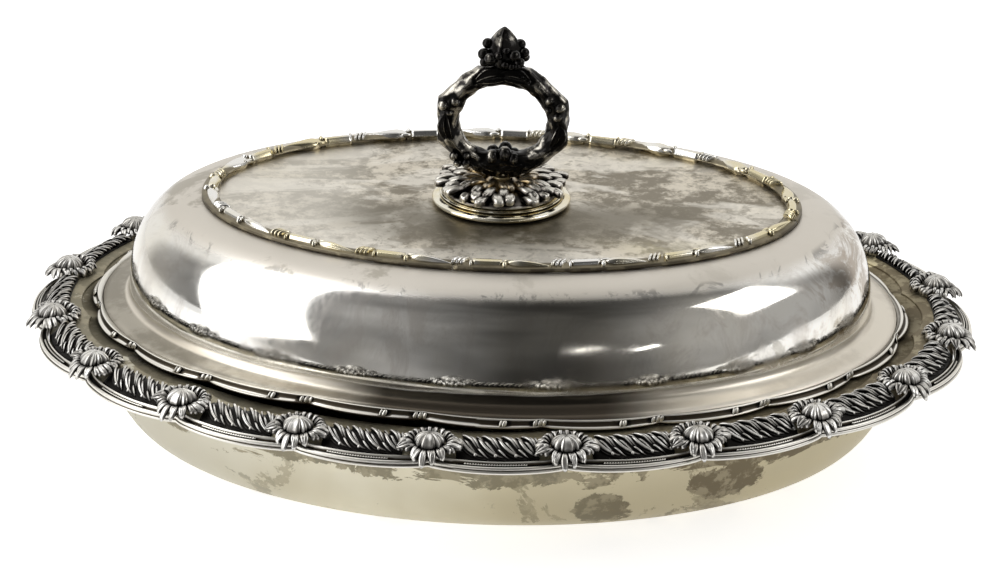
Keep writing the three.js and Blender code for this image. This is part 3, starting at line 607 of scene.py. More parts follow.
def lid_shoulder(f, cloud):
    """Colour of the lid's shoulder: satin, with smudges and a line of marks."""
    along, _, height = f.axes()
    satin = f.mix(cloud, (0.74, 0.70, 0.64), (0.60, 0.56, 0.49))
    marks = f.step(f.noise(110, 8, 0.68, 1.0, (1, 0.6, 1)), 0.545, 0.60)
    marked = f.times(marks, f.band(height, 0.0748, 0.0772, 0.0008), 0.85)
    satin = f.mix(marked, satin, (0.11, 0.10, 0.09))
    smudge = f.step(f.noise(36, 8, 0.68, 0.6), 0.53, 0.62)
    return f.mix(f.times(smudge, f.step(along, 0.02, -0.06, 0.25, 0.7)), satin, (0.36, 0.33, 0.27))


def lid_foot(f, cloud):
    """Colours of the lid's cove and flange, both darkened with painted shade in the middle of their long
    sides.
    """
    along, _, _ = f.axes()
    aside = f.maths("ABSOLUTE", along)
    # Painted shade: cove and flange are dark where their long sides pass the middle, where they mirror the
    # dim room
    front = f.step(f.plus(aside, f.times(cloud, 0.03)), 0.074, 0.050)
    streak = f.times(f.step(f.noise(34, 4, 0.6, 0.3, (1, 1, 7)), 0.45, 0.65), 0.55)
    cove = f.mix(streak, f.mix(front, (0.70, 0.65, 0.56), (0.055, 0.048, 0.038)),
                 f.mix(front, (0.50, 0.45, 0.36), (0.11, 0.095, 0.07)))
    # Painted shade: the flange is darker towards its left end
    flange = f.mix(f.step(along, -0.04, -0.08), (0.76, 0.71, 0.62), (0.42, 0.39, 0.33))
    blotch = f.times(f.step(f.noise(42, 6, 0.65), 0.46, 0.60), f.step(along, -0.02, -0.07, 0.15, 0.55))
    flange = f.mix(blotch, flange, (0.20, 0.18, 0.14))
    return cove, f.mix(front, flange, (0.13, 0.11, 0.085))


def bright_plate(colours):
    """The lid: a mirror with a thin film on its wall, satin above, painted shade on its cove and flange.
    """
    f = Finish("bright_plate")
    along, depth, height = f.axes()
    long_share = f.maths("DIVIDE", along, TOP_HALF[0])
    wide_share = f.maths("DIVIDE", depth, TOP_HALF[1])
    from_middle = f.plus(f.times(long_share, long_share), f.times(wide_share, wide_share))
    cloud = f.noise(13, 6, 0.6, 0.5)

    wall = f.mix(f.step(cloud, 0.40, 0.75), colours.silver, colours.aged_silver)
    film = f.times(f.step(f.noise(26, 7, 0.64, 1.4, (0.8, 0.8, 1.5)), 0.55, 0.63),
                   f.step(along, -0.02, 0.07, 0.10, 0.40))
    wall = f.mix(film, wall, (0.42, 0.38, 0.30))
    haze = f.step(f.noise(60, 7, 0.7, 0.8, (1, 1, 0.6)), 0.44, 0.62)
    wall = f.mix(f.times(haze, 0.35), wall, (0.50, 0.45, 0.40))
    right_end = f.times(f.step(along, 0.085, 0.118), f.step(f.noise(48, 8, 0.7, 0.6), 0.47, 0.56))
    wall = f.mix(f.times(right_end, 0.75), wall, (0.30, 0.23, 0.16))

    # A bright line round the wall's foot, painted as a highlight, with a net of bright cells above it in
    # places
    wave = f.plus(height, f.times(f.noise(34, 3), 0.0022))
    line = f.band(wave, 0.0499, 0.0506, 0.0003)
    net = f.node("ShaderNodeTexVoronoi", {"feature": "DISTANCE_TO_EDGE"}, Vector=f.where, Scale=330.0)
    cells = f.times(f.step(net.outputs["Distance"], 0.10, 0.04), f.band(wave, 0.0502, 0.0522, 0.0004),
                    f.step(f.noise(30, 2), 0.52, 0.56))
    wall = f.mix(f.maths("MAXIMUM", line, cells), wall, (0.93, 0.91, 0.86))

    above = f.step(height, *WALL_TO_SHOULDER)
    base = f.mix(above, wall, lid_shoulder(f, cloud))
    top = f.mix(f.step(height, *SHOULDER_TO_TOP), base, lid_top(f, from_middle))
    base = f.mix(f.step(from_middle, 1.06, 0.99), base, top)
    cove, flange = lid_foot(f, cloud)
    base = f.mix(f.step(wave, *COVE_TO_WALL), base, cove)
    base = f.mix(f.step(height, *FLANGE_TO_COVE), base, flange)
    roughness = f.blend(above, f.blend(haze, 0.07, 0.17), 0.42)
    roughness = f.blend(f.times(film, f.step(above, 1.0, 0.0)), roughness, 0.40)
    roughness = f.blend(f.step(wave, 0.0508, 0.0496), roughness, 0.34)
    roughness = f.blend(f.step(height, *FLANGE_TO_COVE), roughness, 0.45)
    dents = f.bump(f.noise(11, 2, 0.5), 0.5, 0.0008)
    scratches = f.noise(420, 3, 0.6, 0.5, (0.12, 1, 1))
    return f.finish(base, roughness, f.bump(scratches, 0.05, 0.0001, dents))


def bright_moulding(colours):
    """Plain mouldings: bright on the crests and brown in the hollows."""
    f = Finish("bright_moulding")
    cloud = f.noise(60, 5, 0.6)
    openness = f.openness()
    base = f.mix(cloud, colours.silver, colours.aged_silver)
    base = f.mix(f.step(openness, 0.72, 0.48), base, (0.075, 0.062, 0.045))
    base = f.mix(f.step(openness, 0.40, 0.22), base, colours.oxide)
    roughness = f.blend(f.step(openness, 0.4, 0.7), 0.45, f.blend(cloud, 0.30, 0.42))
    return f.finish(base, roughness, f.bump(f.noise(900, 2), 0.05, 0.0001))


def oxidised_ornament(colours):
    """Cast ornament: black in the recesses, rubbed bright on the crests."""
    f = Finish("oxidised_ornament")
    wear = f.noise(240, 4, 0.6)
    lit = f.plus(f.openness(), f.times(wear, 0.24))
    grey = f.mix(f.step(lit, 0.42, 0.72), colours.oxide, (0.24, 0.23, 0.215))
    bright = f.mix(f.step(wear, 0.40, 0.62), colours.silver, (0.60, 0.58, 0.54))
    rubbed = f.step(lit, 0.72, 0.96)
    roughness = f.blend(rubbed, 0.45, 0.32)
    return f.finish(f.mix(rubbed, grey, bright), roughness, f.bump(f.noise(1300, 2), 0.08, 0.0001))


def foot_border(colours):
    """The ring on the lid's top: olive brown in the hollows and rubbed bright on the crests."""
    f = Finish("foot_border")
    _, depth, height = f.axes()
    wear = f.noise(170, 5, 0.6)
    lit = f.plus(f.openness(), f.times(wear, 0.26))
    brown = f.mix(f.step(lit, 0.40, 0.68), (0.035, 0.030, 0.022), (0.30, 0.26, 0.18))
    bright = f.mix(f.step(f.noise(40, 3), 0.42, 0.62), colours.silver, (0.74, 0.66, 0.44))
    rubbed = f.step(lit, 0.64, 0.86)
    # Painted shade: the skirt is dark on the front half and pale brown behind
    skirt = f.mix(f.step(depth, -0.01, 0.02), (0.10, 0.085, 0.06), (0.60, 0.53, 0.37))
    skirt = f.mix(f.step(f.noise(150, 4, 0.6), 0.45, 0.60), skirt, (0.22, 0.19, 0.13))
    base = f.mix(f.step(height, 0.0810, 0.0816), skirt, f.mix(rubbed, brown, bright))
    return f.finish(base, f.blend(rubbed, 0.42, 0.20), f.bump(f.noise(1100, 2), 0.08, 0.0001))


def dark_casting(_):
    """The handle: nearly black and shiny, rubbed a little on its crests, with painted light on its left
    side.
    """
    f = Finish("dark_casting")
    wear = f.noise(240, 5, 0.6)
    # Painted light: the handle's left side gets more of the bright colour
    left = f.step(f.axes()[0], 0.002, -0.010, 0.0, 0.06)
    rubbed = f.step(f.plus(f.openness(), f.times(wear, 0.6), left), 1.23, 1.38)
    base = f.mix(rubbed, (0.020, 0.019, 0.018), (0.50, 0.47, 0.41))
    bark = f.bump(f.noise(260, 3, 0.55, 0.4), 0.30, 0.0004)
    return f.finish(base, f.blend(wear, 0.14, 0.26), f.bump(f.noise(900, 3), 0.10, 0.0002, bark))


def tarnished_casting(_):
    """The rosette: black recesses, grey leaves rubbed on their rims, brown round the stud."""
    f = Finish("tarnished_casting")
    along, depth, _ = f.axes()
    from_stud = f.length(f.maths("SUBTRACT", along, LID_SHIFT * MM), depth)
    wear = f.noise(200, 5, 0.6)
    openness = f.openness()
    base = f.mix(f.step(openness, 0.35, 0.62), (0.02, 0.018, 0.016), (0.20, 0.18, 0.16))
    base = f.mix(f.step(f.plus(openness, f.times(wear, 0.6)), 1.02, 1.16), base, (0.80, 0.77, 0.70))
    brown = f.times(f.step(from_stud, 0.0150, 0.0095), f.step(f.noise(60, 4), 0.30, 0.60))
    base = f.mix(f.times(brown, 0.7), base, (0.52, 0.38, 0.18))
    return f.finish(base, f.blend(wear, 0.20, 0.36), f.bump(f.noise(700, 3), 0.12, 0.0002))


def worn_collar(colours):
    """The collar: polished, worn towards the brass under the plate, with painted shade where the rosette
    hides it.
    """
    f = Finish("worn_collar")
    wear = f.noise(60, 4, 0.6)
    base = f.mix(f.step(wear, 0.38, 0.66), (0.84, 0.81, 0.70), colours.brass)
    # Painted shade: dark brown where little air reaches, under the rosette
    base = f.mix(f.step(f.openness(), 0.36, 0.12), base, (0.10, 0.08, 0.045))
    return f.finish(base, f.blend(wear, 0.10, 0.22), f.bump(f.noise(700, 2), 0.05, 0.0001))


def bare_brass(colours):
    """Bush and stud: dull brass."""
    f = Finish("bare_brass")
    cloud = f.noise(140, 4, 0.6)
    base = f.mix(cloud, colours.brass, (0.40, 0.31, 0.17))
    return f.finish(base, f.blend(cloud, 0.32, 0.5), f.bump(f.noise(900, 2), 0.1, 0.0001))


FINISHES = {make.__name__: make for make in (
    satin_plate, bright_plate, bright_moulding, oxidised_ornament, foot_border, dark_casting,
    tarnished_casting, worn_collar, bare_brass)}
# The record's slot of each finish that isn't named after one
SLOTS = {"tarnished_casting": "dark_casting", "foot_border": "oxidised_ornament"}


def dress(piece, finish, body, node, reach=0):
    """Gives a piece its finish and its body, and lets it stand for a node. Its recesses are marked
    first if a reach is given."""
    if reach:
        mark_recesses(piece, reach, rays=24)
    colours = bpy.context.scene.covered_dish_colours
    material = bpy.data.materials.get(f"{finish}_finish") or FINISHES[finish](colours)
    piece.data.materials.clear()
    piece.data.materials.append(material)
    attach(piece, body)
    SLOTS.get(finish, finish)
    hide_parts(node)
    piece.name = node


# The stage

# Lamps: name, place, the point that it faces, the lengths of its sides, whose power it takes, and the
# way that its second side runs
LAMPS = (
    ("window", (-0.60, -0.12, 0.75), (0.4, -0.12, 0.75), (0.50, 1.60), "key_strength", (0, 0.36, 1)),
    ("fill", (0.60, -0.18, 0.53), (0, -0.1, 0.2), (0.33, 0.36), "fill_strength", (0, 0, 1)),
    ("tube", (-0.62, 0.03, 1.0), (-0.62, 0.03, 0), (0.07, 0.80), "top_strength", (1, -0.22, 0)),
    ("spark", (0.31, -1.01, 0.28), (0, -0.08, 0.06), (0.03, 0.12), "spark_strength", (0.9, 0, 0.5)),
    ("spark", (0.555, -0.92, 0.24), (0, -0.08, 0.06), (0.03, 0.12), "spark_strength", (0.9, 0, 0.4)),
)
# Width, depth and middle of the table's top, in metres
TABLE_SIZE = (2.4, 1.25, 1)
TABLE_MIDDLE = (0, 0.415, -0.0002)
# The table's own glow, and how much more of it the camera sees
TABLE_GLOW = 0.42
TABLE_GLOW_SEEN = 0.30
# The point that the camera looks at: its height, and how far left of the axis
AIM_HEIGHT = 0.04867
AIM_LEFT = 0.000827
SENSOR_WIDTH = 36.0


def add_lamp(name, place, aim, size, power, up):
    """A rectangular lamp, its second side along up."""
    lamp = bpy.data.lights.new(name, "AREA")
    lamp.shape = "RECTANGLE"
    lamp.size, lamp.size_y = size
    lamp.energy = power
    holder = bpy.data.objects.new(name, lamp)
    back = (Vector(place) - Vector(aim)).normalized()
    side = Vector(up).cross(back).normalized()
    matrix = Matrix((side, back.cross(side), back)).transposed().to_4x4()
    matrix.translation = place
    holder.matrix_world = matrix
    holder.visible_camera = False
    bpy.context.scene.collection.objects.link(holder)


def room_world():
    """White to the camera; to the metal a pale backdrop behind and a dim room in front."""
    world = bpy.data.worlds.new("room")
    world.use_nodes = True
    w = Nodes(world.node_tree, "Generated")
    along, depth, _ = w.axes()
    furniture = w.noise(1.6, 3, 0.5, 0.0, (1, 1, 0.6))
    left = w.step(along, 0.05, -0.36, 0.0, 0.25)
    right = w.step(along, 0.20, 0.75, 0.0, 0.24)
    dim = w.times(w.plus(left, right, 0.055), w.step(furniture, 0.30, 0.70, 0.55, 1.45))
    side_end = w.step(w.maths("ABSOLUTE", along), 0.88, 0.72)
    backdrop = w.times(w.step(depth, -0.04, 0.26), side_end)
    seen = w.mix(backdrop, w.mix(dim, (0, 0, 0), (1.0, 0.98, 0.95)), (0.93, 0.92, 0.90))
    camera = w.node("ShaderNodeLightPath").outputs["Is Camera Ray"]
    light = w.node("ShaderNodeBackground", Color=w.mix(camera, seen, (1, 1, 1)))
    w.node("ShaderNodeOutputWorld", Surface=light.outputs[0])
    bpy.context.scene.world = world


def table_top():
    """A white table that blends into the white behind it and keeps the soft shadow."""
    deselect()
    bpy.ops.mesh.primitive_plane_add(size=1.0)
    top = bpy.context.object
    top.name = "table_top"
    set_corners(top, corners_of(top) * TABLE_SIZE + TABLE_MIDDLE)
    f = Finish("table_top")
    surface = f.node("ShaderNodeBsdfDiffuse", Color=(0.9, 0.9, 0.9, 1))
    camera = f.node("ShaderNodeLightPath").outputs["Is Camera Ray"]
    strength = f.plus(f.times(camera, TABLE_GLOW_SEEN), TABLE_GLOW)
    glow = f.node("ShaderNodeEmission", Color=(1, 1, 1, 1), Strength=strength)
    both = f.tree.nodes.new("ShaderNodeAddShader")
    f.feed(both.inputs[0], surface.outputs[0])
    f.feed(both.inputs[1], glow.outputs[0])
    f.node("ShaderNodeOutputMaterial", Surface=both.outputs[0])
    top.data.materials.append(f.material)


def add_camera(studio):
    """The photograph's view: a long lens, a little above the dish."""
    e, a, roll = studio.camera_elevation, studio.camera_azimuth, studio.camera_roll
    back = Vector((math.sin(a) * math.cos(e), -math.cos(a) * math.cos(e), math.sin(e)))
    right = Vector((math.cos(a), math.sin(a), 0))
    up = back.cross(right)
    aim = Vector((0, 0, AIM_HEIGHT)) - right * AIM_LEFT
    turned_right = right * math.cos(roll) + up * math.sin(roll)
    turned_up = up * math.cos(roll) - right * math.sin(roll)
    lens = bpy.data.cameras.new("camera")
    lens.lens = studio.lens
    lens.sensor_width = SENSOR_WIDTH
    lens.sensor_fit = "HORIZONTAL"
    lens.clip_start = 0.05
    lens.clip_end = 20.0
    camera = bpy.data.objects.new("camera", lens)
    matrix = Matrix((turned_right, turned_up, back)).transposed().to_4x4()
    matrix.translation = aim + back * studio.camera_distance
    camera.matrix_world = matrix
    bpy.context.scene.collection.objects.link(camera)
    bpy.context.scene.camera = camera


class COVERED_DISH_OT_stage(bpy.types.Operator):
    """Sets the table, the lights, the white surroundings and the camera"""
    bl_idname = "covered_dish.stage"
    bl_label = "Stage"

    def execute(self, context):
        studio = context.scene.covered_dish_studio
        context.scene.view_settings.view_transform = "Standard"
        room_world()
        table_top()
        add_camera(studio)
        for name, place, aim, size, power, up in LAMPS:
            add_lamp(name, place, aim, size, getattr(studio, power), up)
        return {"FINISHED"}


# The dish

# Shares of the way across the base, up the wall and across the flange at which rings stand
BASE_SHARES = (0.02, 0.3, 0.6, 0.85)
WALL_SHARES = np.linspace(0, 1, 21)
FLANGE_TOP_SHARES = (1.0, 0.92, 0.8, 0.65, 0.5, 0.35, 0.2, 0.08, 0.0)
FLANGE_UNDER_SHARES = (0.25, 0.5, 0.75, 1.0)
MOUTH_ROUNDING = 0.6
DISH_PER_LOBE = 20


def bowl_wall(share, height, inward):
    """Reach and height of the wall, from the edge of the base (0) to the ledge (1)."""
    angle = np.clip(share, 0, 1) * math.pi / 2

    def at(turn):
        reach = BOWL_CURVE_REACH * np.sin(turn) ** (2 / BOWL_CURVE_POWER)
        rise = height * (1 - np.cos(turn) ** (2 / BOWL_CURVE_POWER))
        return np.array([reach, rise])

    near, far = at(max(angle - 0.01, 0)), at(min(angle + 0.01, math.pi / 2))
    along = (far - near) / np.linalg.norm(far - near) if share > 0 else np.array([1.0, 0.0])
    return at(angle) + np.array([-along[1], along[0]]) * inward


def make_dish_body(sizes):
    """The stamped dish: base, wall, ledge for the lid, lobed mouth and lobed flange."""
    rim = rim_oval(sizes)
    rim_height = sizes.rim_height / MM
    mouth_top = rim_height - MOUTH_DROP
    seat = mouth_top - SEAT_DROP
    lobe = round_lobes(DISH_PER_LOBE)
    angle = rim.angles(lobe / LOBES)
    half_length = rim.half_length - BOWL_INSET[0]
    half_width = rim.half_width - BOWL_INSET[1]
    mouth, edge = mouth_offset(lobe), flange_edge(lobe)

    def bowl(reach, height):
        inset = BOWL_CURVE_REACH - reach
        return Oval(half_length - inset, half_width - inset, 8).place(angle, 0, height)

    def base(share, height):
        across, deep = half_length - BOWL_CURVE_REACH, half_width - BOWL_CURVE_REACH
        return Oval(across * share, deep * share, 8).place(angle, 0, height)

    def on_top(share):
        """Points of the flange's top, from the mouth (0) to the edge (1)."""
        inner = mouth + MOUTH_ROUNDING
        outward = inner + (edge - inner) * share
        return rim.place(angle, outward, flange_top(lobe, outward, rim_height))

    def rounded(turn):
        """Points of the mouth's rounding, from its top (0) to its side (a quarter turn)."""
        outward = mouth + MOUTH_ROUNDING * (1 - math.sin(turn))
        return rim.place(angle, outward, mouth_top - MOUTH_ROUNDING * (1 - math.cos(turn)))

    inside = [bowl_wall(share, seat - SHEET, SHEET) for share in WALL_SHARES]
    inside[-1] = np.array([inside[-1][0], seat])
    rings = [base(share, 0) for share in BASE_SHARES]
    rings += [bowl(*bowl_wall(share, seat - SHEET, 0)) for share in WALL_SHARES]
    rings.append(rim.place(angle, mouth + SHEET, seat - SHEET))
    rings += [on_top(share) - (0, 0, SHEET) for share in FLANGE_UNDER_SHARES]
    rings += [on_top(share) for share in FLANGE_TOP_SHARES]
    rings += [rounded(math.radians(turn)) for turn in (30, 60, 90)]
    rings.append(rim.place(angle, mouth, seat))
    rings += [bowl(*point) for point in reversed(inside)]
    rings += [base(share, SHEET) for share in reversed(BASE_SHARES)]
    return loft("dish_body", [ring * MM for ring in rings])


class COVERED_DISH_OT_bowl(bpy.types.Operator):
    """Makes the stamped dish with its ledge, mouth and flange"""
    bl_idname = "covered_dish.bowl"
    bl_label = "Bowl"

    def execute(self, context):
        dress(make_dish_body(context.scene.covered_dish_sizes), "satin_plate", "dish", "dish_body")
        return {"FINISHED"}


# Section of the edge: outwards of the flange's edge, up from the rim's crest, and how rubbed it is
EDGE_SECTION = (
    (0.35, -4.9, 0.0), (0.35, -2.9, 0.6), (0.45, -2.45, 1.0), (0.62, -2.32, 1.0), (0.80, -2.5, 0.8),
    (0.9, -3.5, 0.0), (1.1, -4.05, 0.0), (1.5, -4.15, 0.0), (1.85, -3.75, 0.4), (2.2, -3.35, 1.0),
    (2.65, -3.22, 1.0), (3.0, -3.42, 1.0), (3.15, -3.85, 0.8), (2.98, -4.3, 0.0), (3.2, -4.48, 0.7),
    (3.42, -4.85, 1.0), (3.4, -5.25, 0.8), (3.1, -5.55, 0.3), (2.7, -5.6, 0.2), (1.0, -5.4, 0.0),
)
EDGE_PER_LOBE = 18
# Notches of the milled line: their pitch and span along a lobe, their place and their two radii
MILLING_STEP = 0.4
MILLING_SPAN = (-10.0, 9.0)
MILLING_PLACE = (1.55, -3.25)
MILLING_RADII = (0.16, 0.48)


def make_milled_line():
    """A row of notches along a lobe, laid out flat: x outwards, y along the rim, in millimetres."""
    out, up = MILLING_PLACE
    rings = []
    for number, y in enumerate(np.arange(*MILLING_SPAN, MILLING_STEP)):
        radius = MILLING_RADII[number % 2]
        rings.append([
            (out + radius * math.cos(t), y, up + radius * math.sin(t)) for t in np.arange(6) / 6 * TURN])
    return loft("milled_line", rings)


def make_edge_bead(sizes):
    """The edge of the dish: a lip, a hollow with a milled line in it and a double roll."""
    rim = rim_oval(sizes)
    crest = sizes.rim_height / MM

    def lay(lobe, outward, up):
        return rim.place(rim.angles(lobe / LOBES), flange_edge(lobe) + outward, crest + up) * MM

    return lobed_moulding(
        "dish_edge_bead", EDGE_SECTION, EDGE_PER_LOBE, lay, make_milled_line(), rim.length / LOBES)


class COVERED_DISH_OT_edge_bead(bpy.types.Operator):
    """Makes the lobed edge of the dish: lip, milled line and double roll"""
    bl_idname = "covered_dish.edge_bead"
    bl_label = "Edge roll"

    def execute(self, context):
        piece = make_edge_bead(context.scene.covered_dish_sizes)
        dress(piece, "bright_moulding", "dish", "dish_edge_bead", reach=0.0030)
        return {"FINISHED"}


# Flowers

# Width and height of a blade's section round it, as shares: a petal is full with a shallow groove, and a
# leaf has raised rims and a vein
PETAL_SECTION = np.array([
    (1.0, 0.05), (0.90, 0.55), (0.64, 0.92), (0.30, 1.0), (0.0, 0.84), (-0.30, 1.0),
    (-0.64, 0.92), (-0.90, 0.55), (-1.0, 0.05), (-0.6, -0.4), (0.0, -0.5), (0.6, -0.4),
])
LEAF_SECTION = np.array([
    (1.0, 0.25), (0.90, 0.95), (0.66, 0.70), (0.30, 0.35), (0.0, 1.0), (-0.30, 0.35),
    (-0.66, 0.70), (-0.90, 0.95), (-1.0, 0.25), (-0.6, -0.4), (0.0, -0.5), (0.6, -0.4),
])
OUTER_PETALS = 19
INNER_PETALS = 12
# Petals on the outward side: degrees round from outwards, reach, width, rise, droop and sideways curl
FRONT_PETALS = (
    (-50, 8.4, 1.6, 0.8, 0.5, -0.9), (-37, 8.7, 1.7, 1.0, 0.7, 0.6), (-24, 9.0, 1.9, 0.8, 0.8, -0.5),
    (-10, 9.9, 2.4, 1.1, 1.3, 0.4), (4, 8.6, 1.8, 0.9, 0.6, 1.1), (16, 9.2, 2.1, 1.0, 1.0, -0.7),
    (29, 8.6, 1.8, 0.8, 0.6, 0.7), (42, 8.9, 1.9, 1.0, 0.8, -1.0), (54, 8.4, 1.6, 0.7, 0.5, 0.5),
)


# Places along a blade at which rings stand, its width at its root as a share of its widest, and the share
# of its thickness left where it has no width
BLADE_STATIONS = (0.0, 0.10, 0.25, 0.42, 0.58, 0.72, 0.84, 0.93, 0.985)
BLADE_ROOT = 0.35
BLADE_THIN = 0.45


def unit_blade(section, widest, blunt):
    """A blade along x from 0 to 1, its width within y of -1 to 1 and its thickness in z."""
    def half_width(t):
        if t <= widest:
            return BLADE_ROOT + (1 - BLADE_ROOT) * math.sin(math.pi * t / (2 * widest))
        return max(1 - ((t - widest) / (1.0 - widest)) ** 2, 0.02) ** blunt

    def thickness(t):
        return BLADE_THIN + (1 - BLADE_THIN) * half_width(t)

    across, up = section.T
    rings = [np.column_stack([np.full(len(section), t), across * half_width(t), up * thickness(t)])
             for t in BLADE_STATIONS]
    blade = loft("blade", rings)
    corners = corners_of(blade)
    height = corners[:, 2] / [thickness(min(max(t, 0.0), BLADE_STATIONS[-1])) for t in corners[:, 0]]
    on_crest = np.clip((height - 0.50) / 0.36, 0, 1)
    set_values(blade, "crest", np.maximum(on_crest, corners[:, 0] > 0.95))
    return blade


def place_petal(turn, start, reach, width, thickness, rise, droop, curl, tip=0.0):
    """Lays a unit blade out from a flower's centre; the flower's outward side is +x."""
    def place(points):
        t, s, h = points.T
        radius = start + (reach - start) * t
        sideways = s * width / 2 + curl * t ** 2
        arch = rise * np.sin(np.pi * np.clip(t, 0, 1) ** 0.9 * 0.85) - droop * t ** 2 + tip * t ** 8
        c, n = math.cos(turn), math.sin(turn)
        return np.column_stack([
            radius * c - sideways * n, radius * n + sideways * c, arch + h * thickness])
    return place


# The bud: half-width and height of its dome, how deep its clefts are, its tilt and its place
BUD_REACH = 4.85
BUD_HEIGHT = 2.95
BUD_CLEFT = 0.20
BUD_TILT = math.radians(-13)
BUD_PLACE = (0.8, 0, 1.1)
BUD_RINGS = 19


def make_bud(ribs):
    """The ribbed bud in the middle of a flower, round like a gourd."""
    sides = ribs * 6
    turn = np.arange(sides) / sides * TURN
    cleft = 1 - np.abs(np.sin(ribs * turn / 2)) ** 0.42
    rings = []
    for fall in np.linspace(0.08, 1.45, BUD_RINGS):
        polar = fall * math.pi / 2
        depth = BUD_CLEFT * min(fall * 2.2, 1)
        crown = 1 - 0.10 * math.exp(-(fall / 0.16) ** 2)
        reach = BUD_REACH * math.sin(polar) * (1 - depth * cleft)
        height = BUD_HEIGHT * math.cos(polar) * crown * (1 - 0.6 * depth * cleft)
        rings.append(round_ring(reach, height, sides))
    bud = loft("bud", rings)
    ribbed = np.clip(1.35 - 1.3 * np.tile(cleft, BUD_RINGS), 0, 1)
    crest = np.ones(len(bud.data.vertices))
    crest[:len(ribbed)] = ribbed
    set_values(bud, "crest", crest)
    bud.data.transform(Matrix.Translation(BUD_PLACE) @ Matrix.Rotation(BUD_TILT, 4, "Y"))
    return bud


def make_flower(sizes):
    """One chrysanthemum in millimetres: two rings of petals, broad ones in front, a leaf, two long
    hooked petals and a bud."""
    petal = unit_blade(PETAL_SECTION, 0.74, 0.36)
    leaf = unit_blade(LEAF_SECTION, 0.40, 1.0)
    blades = []

    def add(blade, degrees, **shape):
        place = place_petal(math.radians(degrees), **shape)
        blades.append(copied(blade, f"petal_{len(blades)}", place))

    def inward(degrees):
        """0 on the outward side of the flower and 1 towards the mouth."""
        return (1 - math.cos(math.radians(degrees))) / 2

    for number in range(OUTER_PETALS):
        degrees = 60 + number * 240 / (OUTER_PETALS - 1)
        curl = 0.9 + 0.7 * (number % 3)
        reach = 9.4 - 1.5 * inward(degrees) + 0.5 * (number % 2)
        add(petal, degrees, start=5.2, reach=reach, width=1.6, thickness=1.05, rise=1.0,
            droop=0.7 - 1.0 * inward(degrees), curl=curl if degrees < 180 else -curl, tip=-0.4)
    for number in range(INNER_PETALS):
        degrees = 68 + number * 224 / (INNER_PETALS - 1)
        add(petal, degrees, start=4.9, reach=7.9, width=1.3, thickness=0.9,
            rise=0.9 + 0.8 * inward(degrees), droop=-0.5, curl=0.5 if degrees < 180 else -0.5, tip=-0.3)
    for degrees, reach, width, rise, droop, curl in FRONT_PETALS:
        add(petal, degrees, start=4.7, reach=reach, width=width, thickness=1.25, rise=rise, droop=droop,
            curl=curl, tip=0.3)
    add(leaf, -64, start=4.8, reach=10.7, width=3.6, thickness=1.0, rise=1.5, droop=0.9, curl=-0.6,
        tip=0.4)
    add(petal, 62, start=5.0, reach=10.2, width=2.0, thickness=1.2, rise=1.4, droop=1.0, curl=2.4,
        tip=0.5)
    add(petal, 76, start=5.0, reach=10.2, width=1.7, thickness=1.1, rise=1.6, droop=0.7, curl=1.6,
        tip=0.3)
    flower = joined("flower", [make_bud(sizes.bud_ribs), *blades])
    discard(petal, leaf)
    mark_recesses(flower, 3.0)
    return flower


# How far a flower's foot stands above the flange's crest, and how it falls outwards from there
FLOWER_LIFT = FIT_GAP + 0.35
OUTER_FALL = 0.026


def seat_flower(rim, number, rim_height):
    """Puts a flower on the rim: its x points outwards and its y along the rim."""
    angle = float(rim.angles((number + 0.5) / LOBES))
    centre = rim.place(angle, 0, 0)
    outward_axis = rim.place(angle, 1, 0) - centre
    along_axis = np.array([-outward_axis[1], outward_axis[0], 0])

    def place(points):
        x, y, z = points.T
        from_crest = x + CREST_INSET
        fall = np.where(from_crest < 0, -MOUTH_DROP * from_crest / (MOUTH_INSET - CREST_INSET),
                        OUTER_FALL * from_crest ** 2)
        spots = centre + np.outer(x, outward_axis) + np.outer(y, along_axis)
        spots[:, 2] = rim_height + FLOWER_LIFT - fall + z
        return spots * MM
    return place


class COVERED_DISH_OT_flowers(bpy.types.Operator):
    """Makes one chrysanthemum and sets a copy at each cusp of the rim"""
    bl_idname = "covered_dish.flowers"
    bl_label = "Flowers"

    def execute(self, context):
        sizes = context.scene.covered_dish_sizes
        set_round_rim(make_flower(sizes), seat_flower, "rim_flower", sizes)
        return {"FINISHED"}


# Garlands

GARLAND_HALF_LENGTH = 12.6
GARLAND_WIDTH = 9.8
GARLAND_INNER = -5.4
EDGE_GAP = 0.1
# Blades of one leaf: root, bend and tip across and along the garland, then width, rise and thickness
GARLAND_BLADES = (
    ((6.2, 1.2), (3.0, -1.4), (0.0, -4.3), 1.05, 1.0, 0.9),
    ((6.9, 2.6), (3.9, -0.2), (0.3, -2.0), 0.8, 0.9, 0.8),
    ((5.4, 3.3), (2.6, 1.7), (0.4, 0.2), 0.75, 0.8, 0.7),
    ((8.5, 2.6), (7.5, -3.2), (3.0, -5.2), 0.95, 0.9, 0.9),
    ((8.1, 1.3), (6.4, -1.4), (4.1, -3.2), 0.7, 0.9, 0.8),
    ((8.8, 4.4), (7.9, 2.4), (6.3, 0.9), 0.6, 0.7, 0.7),
)
# The flat bodies of the leaf under them, laid in the same way
GARLAND_BODIES = (
    ((7.2, 3.4), (4.2, -1.0), (0.4, -3.4), 4.6, 0.5, 0.4),
    ((8.8, 3.6), (7.4, -1.8), (3.8, -4.5), 2.8, 0.4, 0.4),
)
# Section of the ground: across the garland and up
GARLAND_GROUND = (
    (0.1, -0.25), (9.6, -0.25), (9.6, 0.05), (9.2, 0.2), (7.6, 0.2), (6.0, 0.2), (4.9, 0.2), (4.3, 0.2),
    (3.8, 0.2), (3.3, 0.2), (2.2, 0.2), (0.5, 0.2), (0.1, 0.05),
)
# The last leaf's roots are drawn in by this share, so that they stay on the ground
LAST_LEAF_SHARE = 0.3
BODY_CREST = 0.35


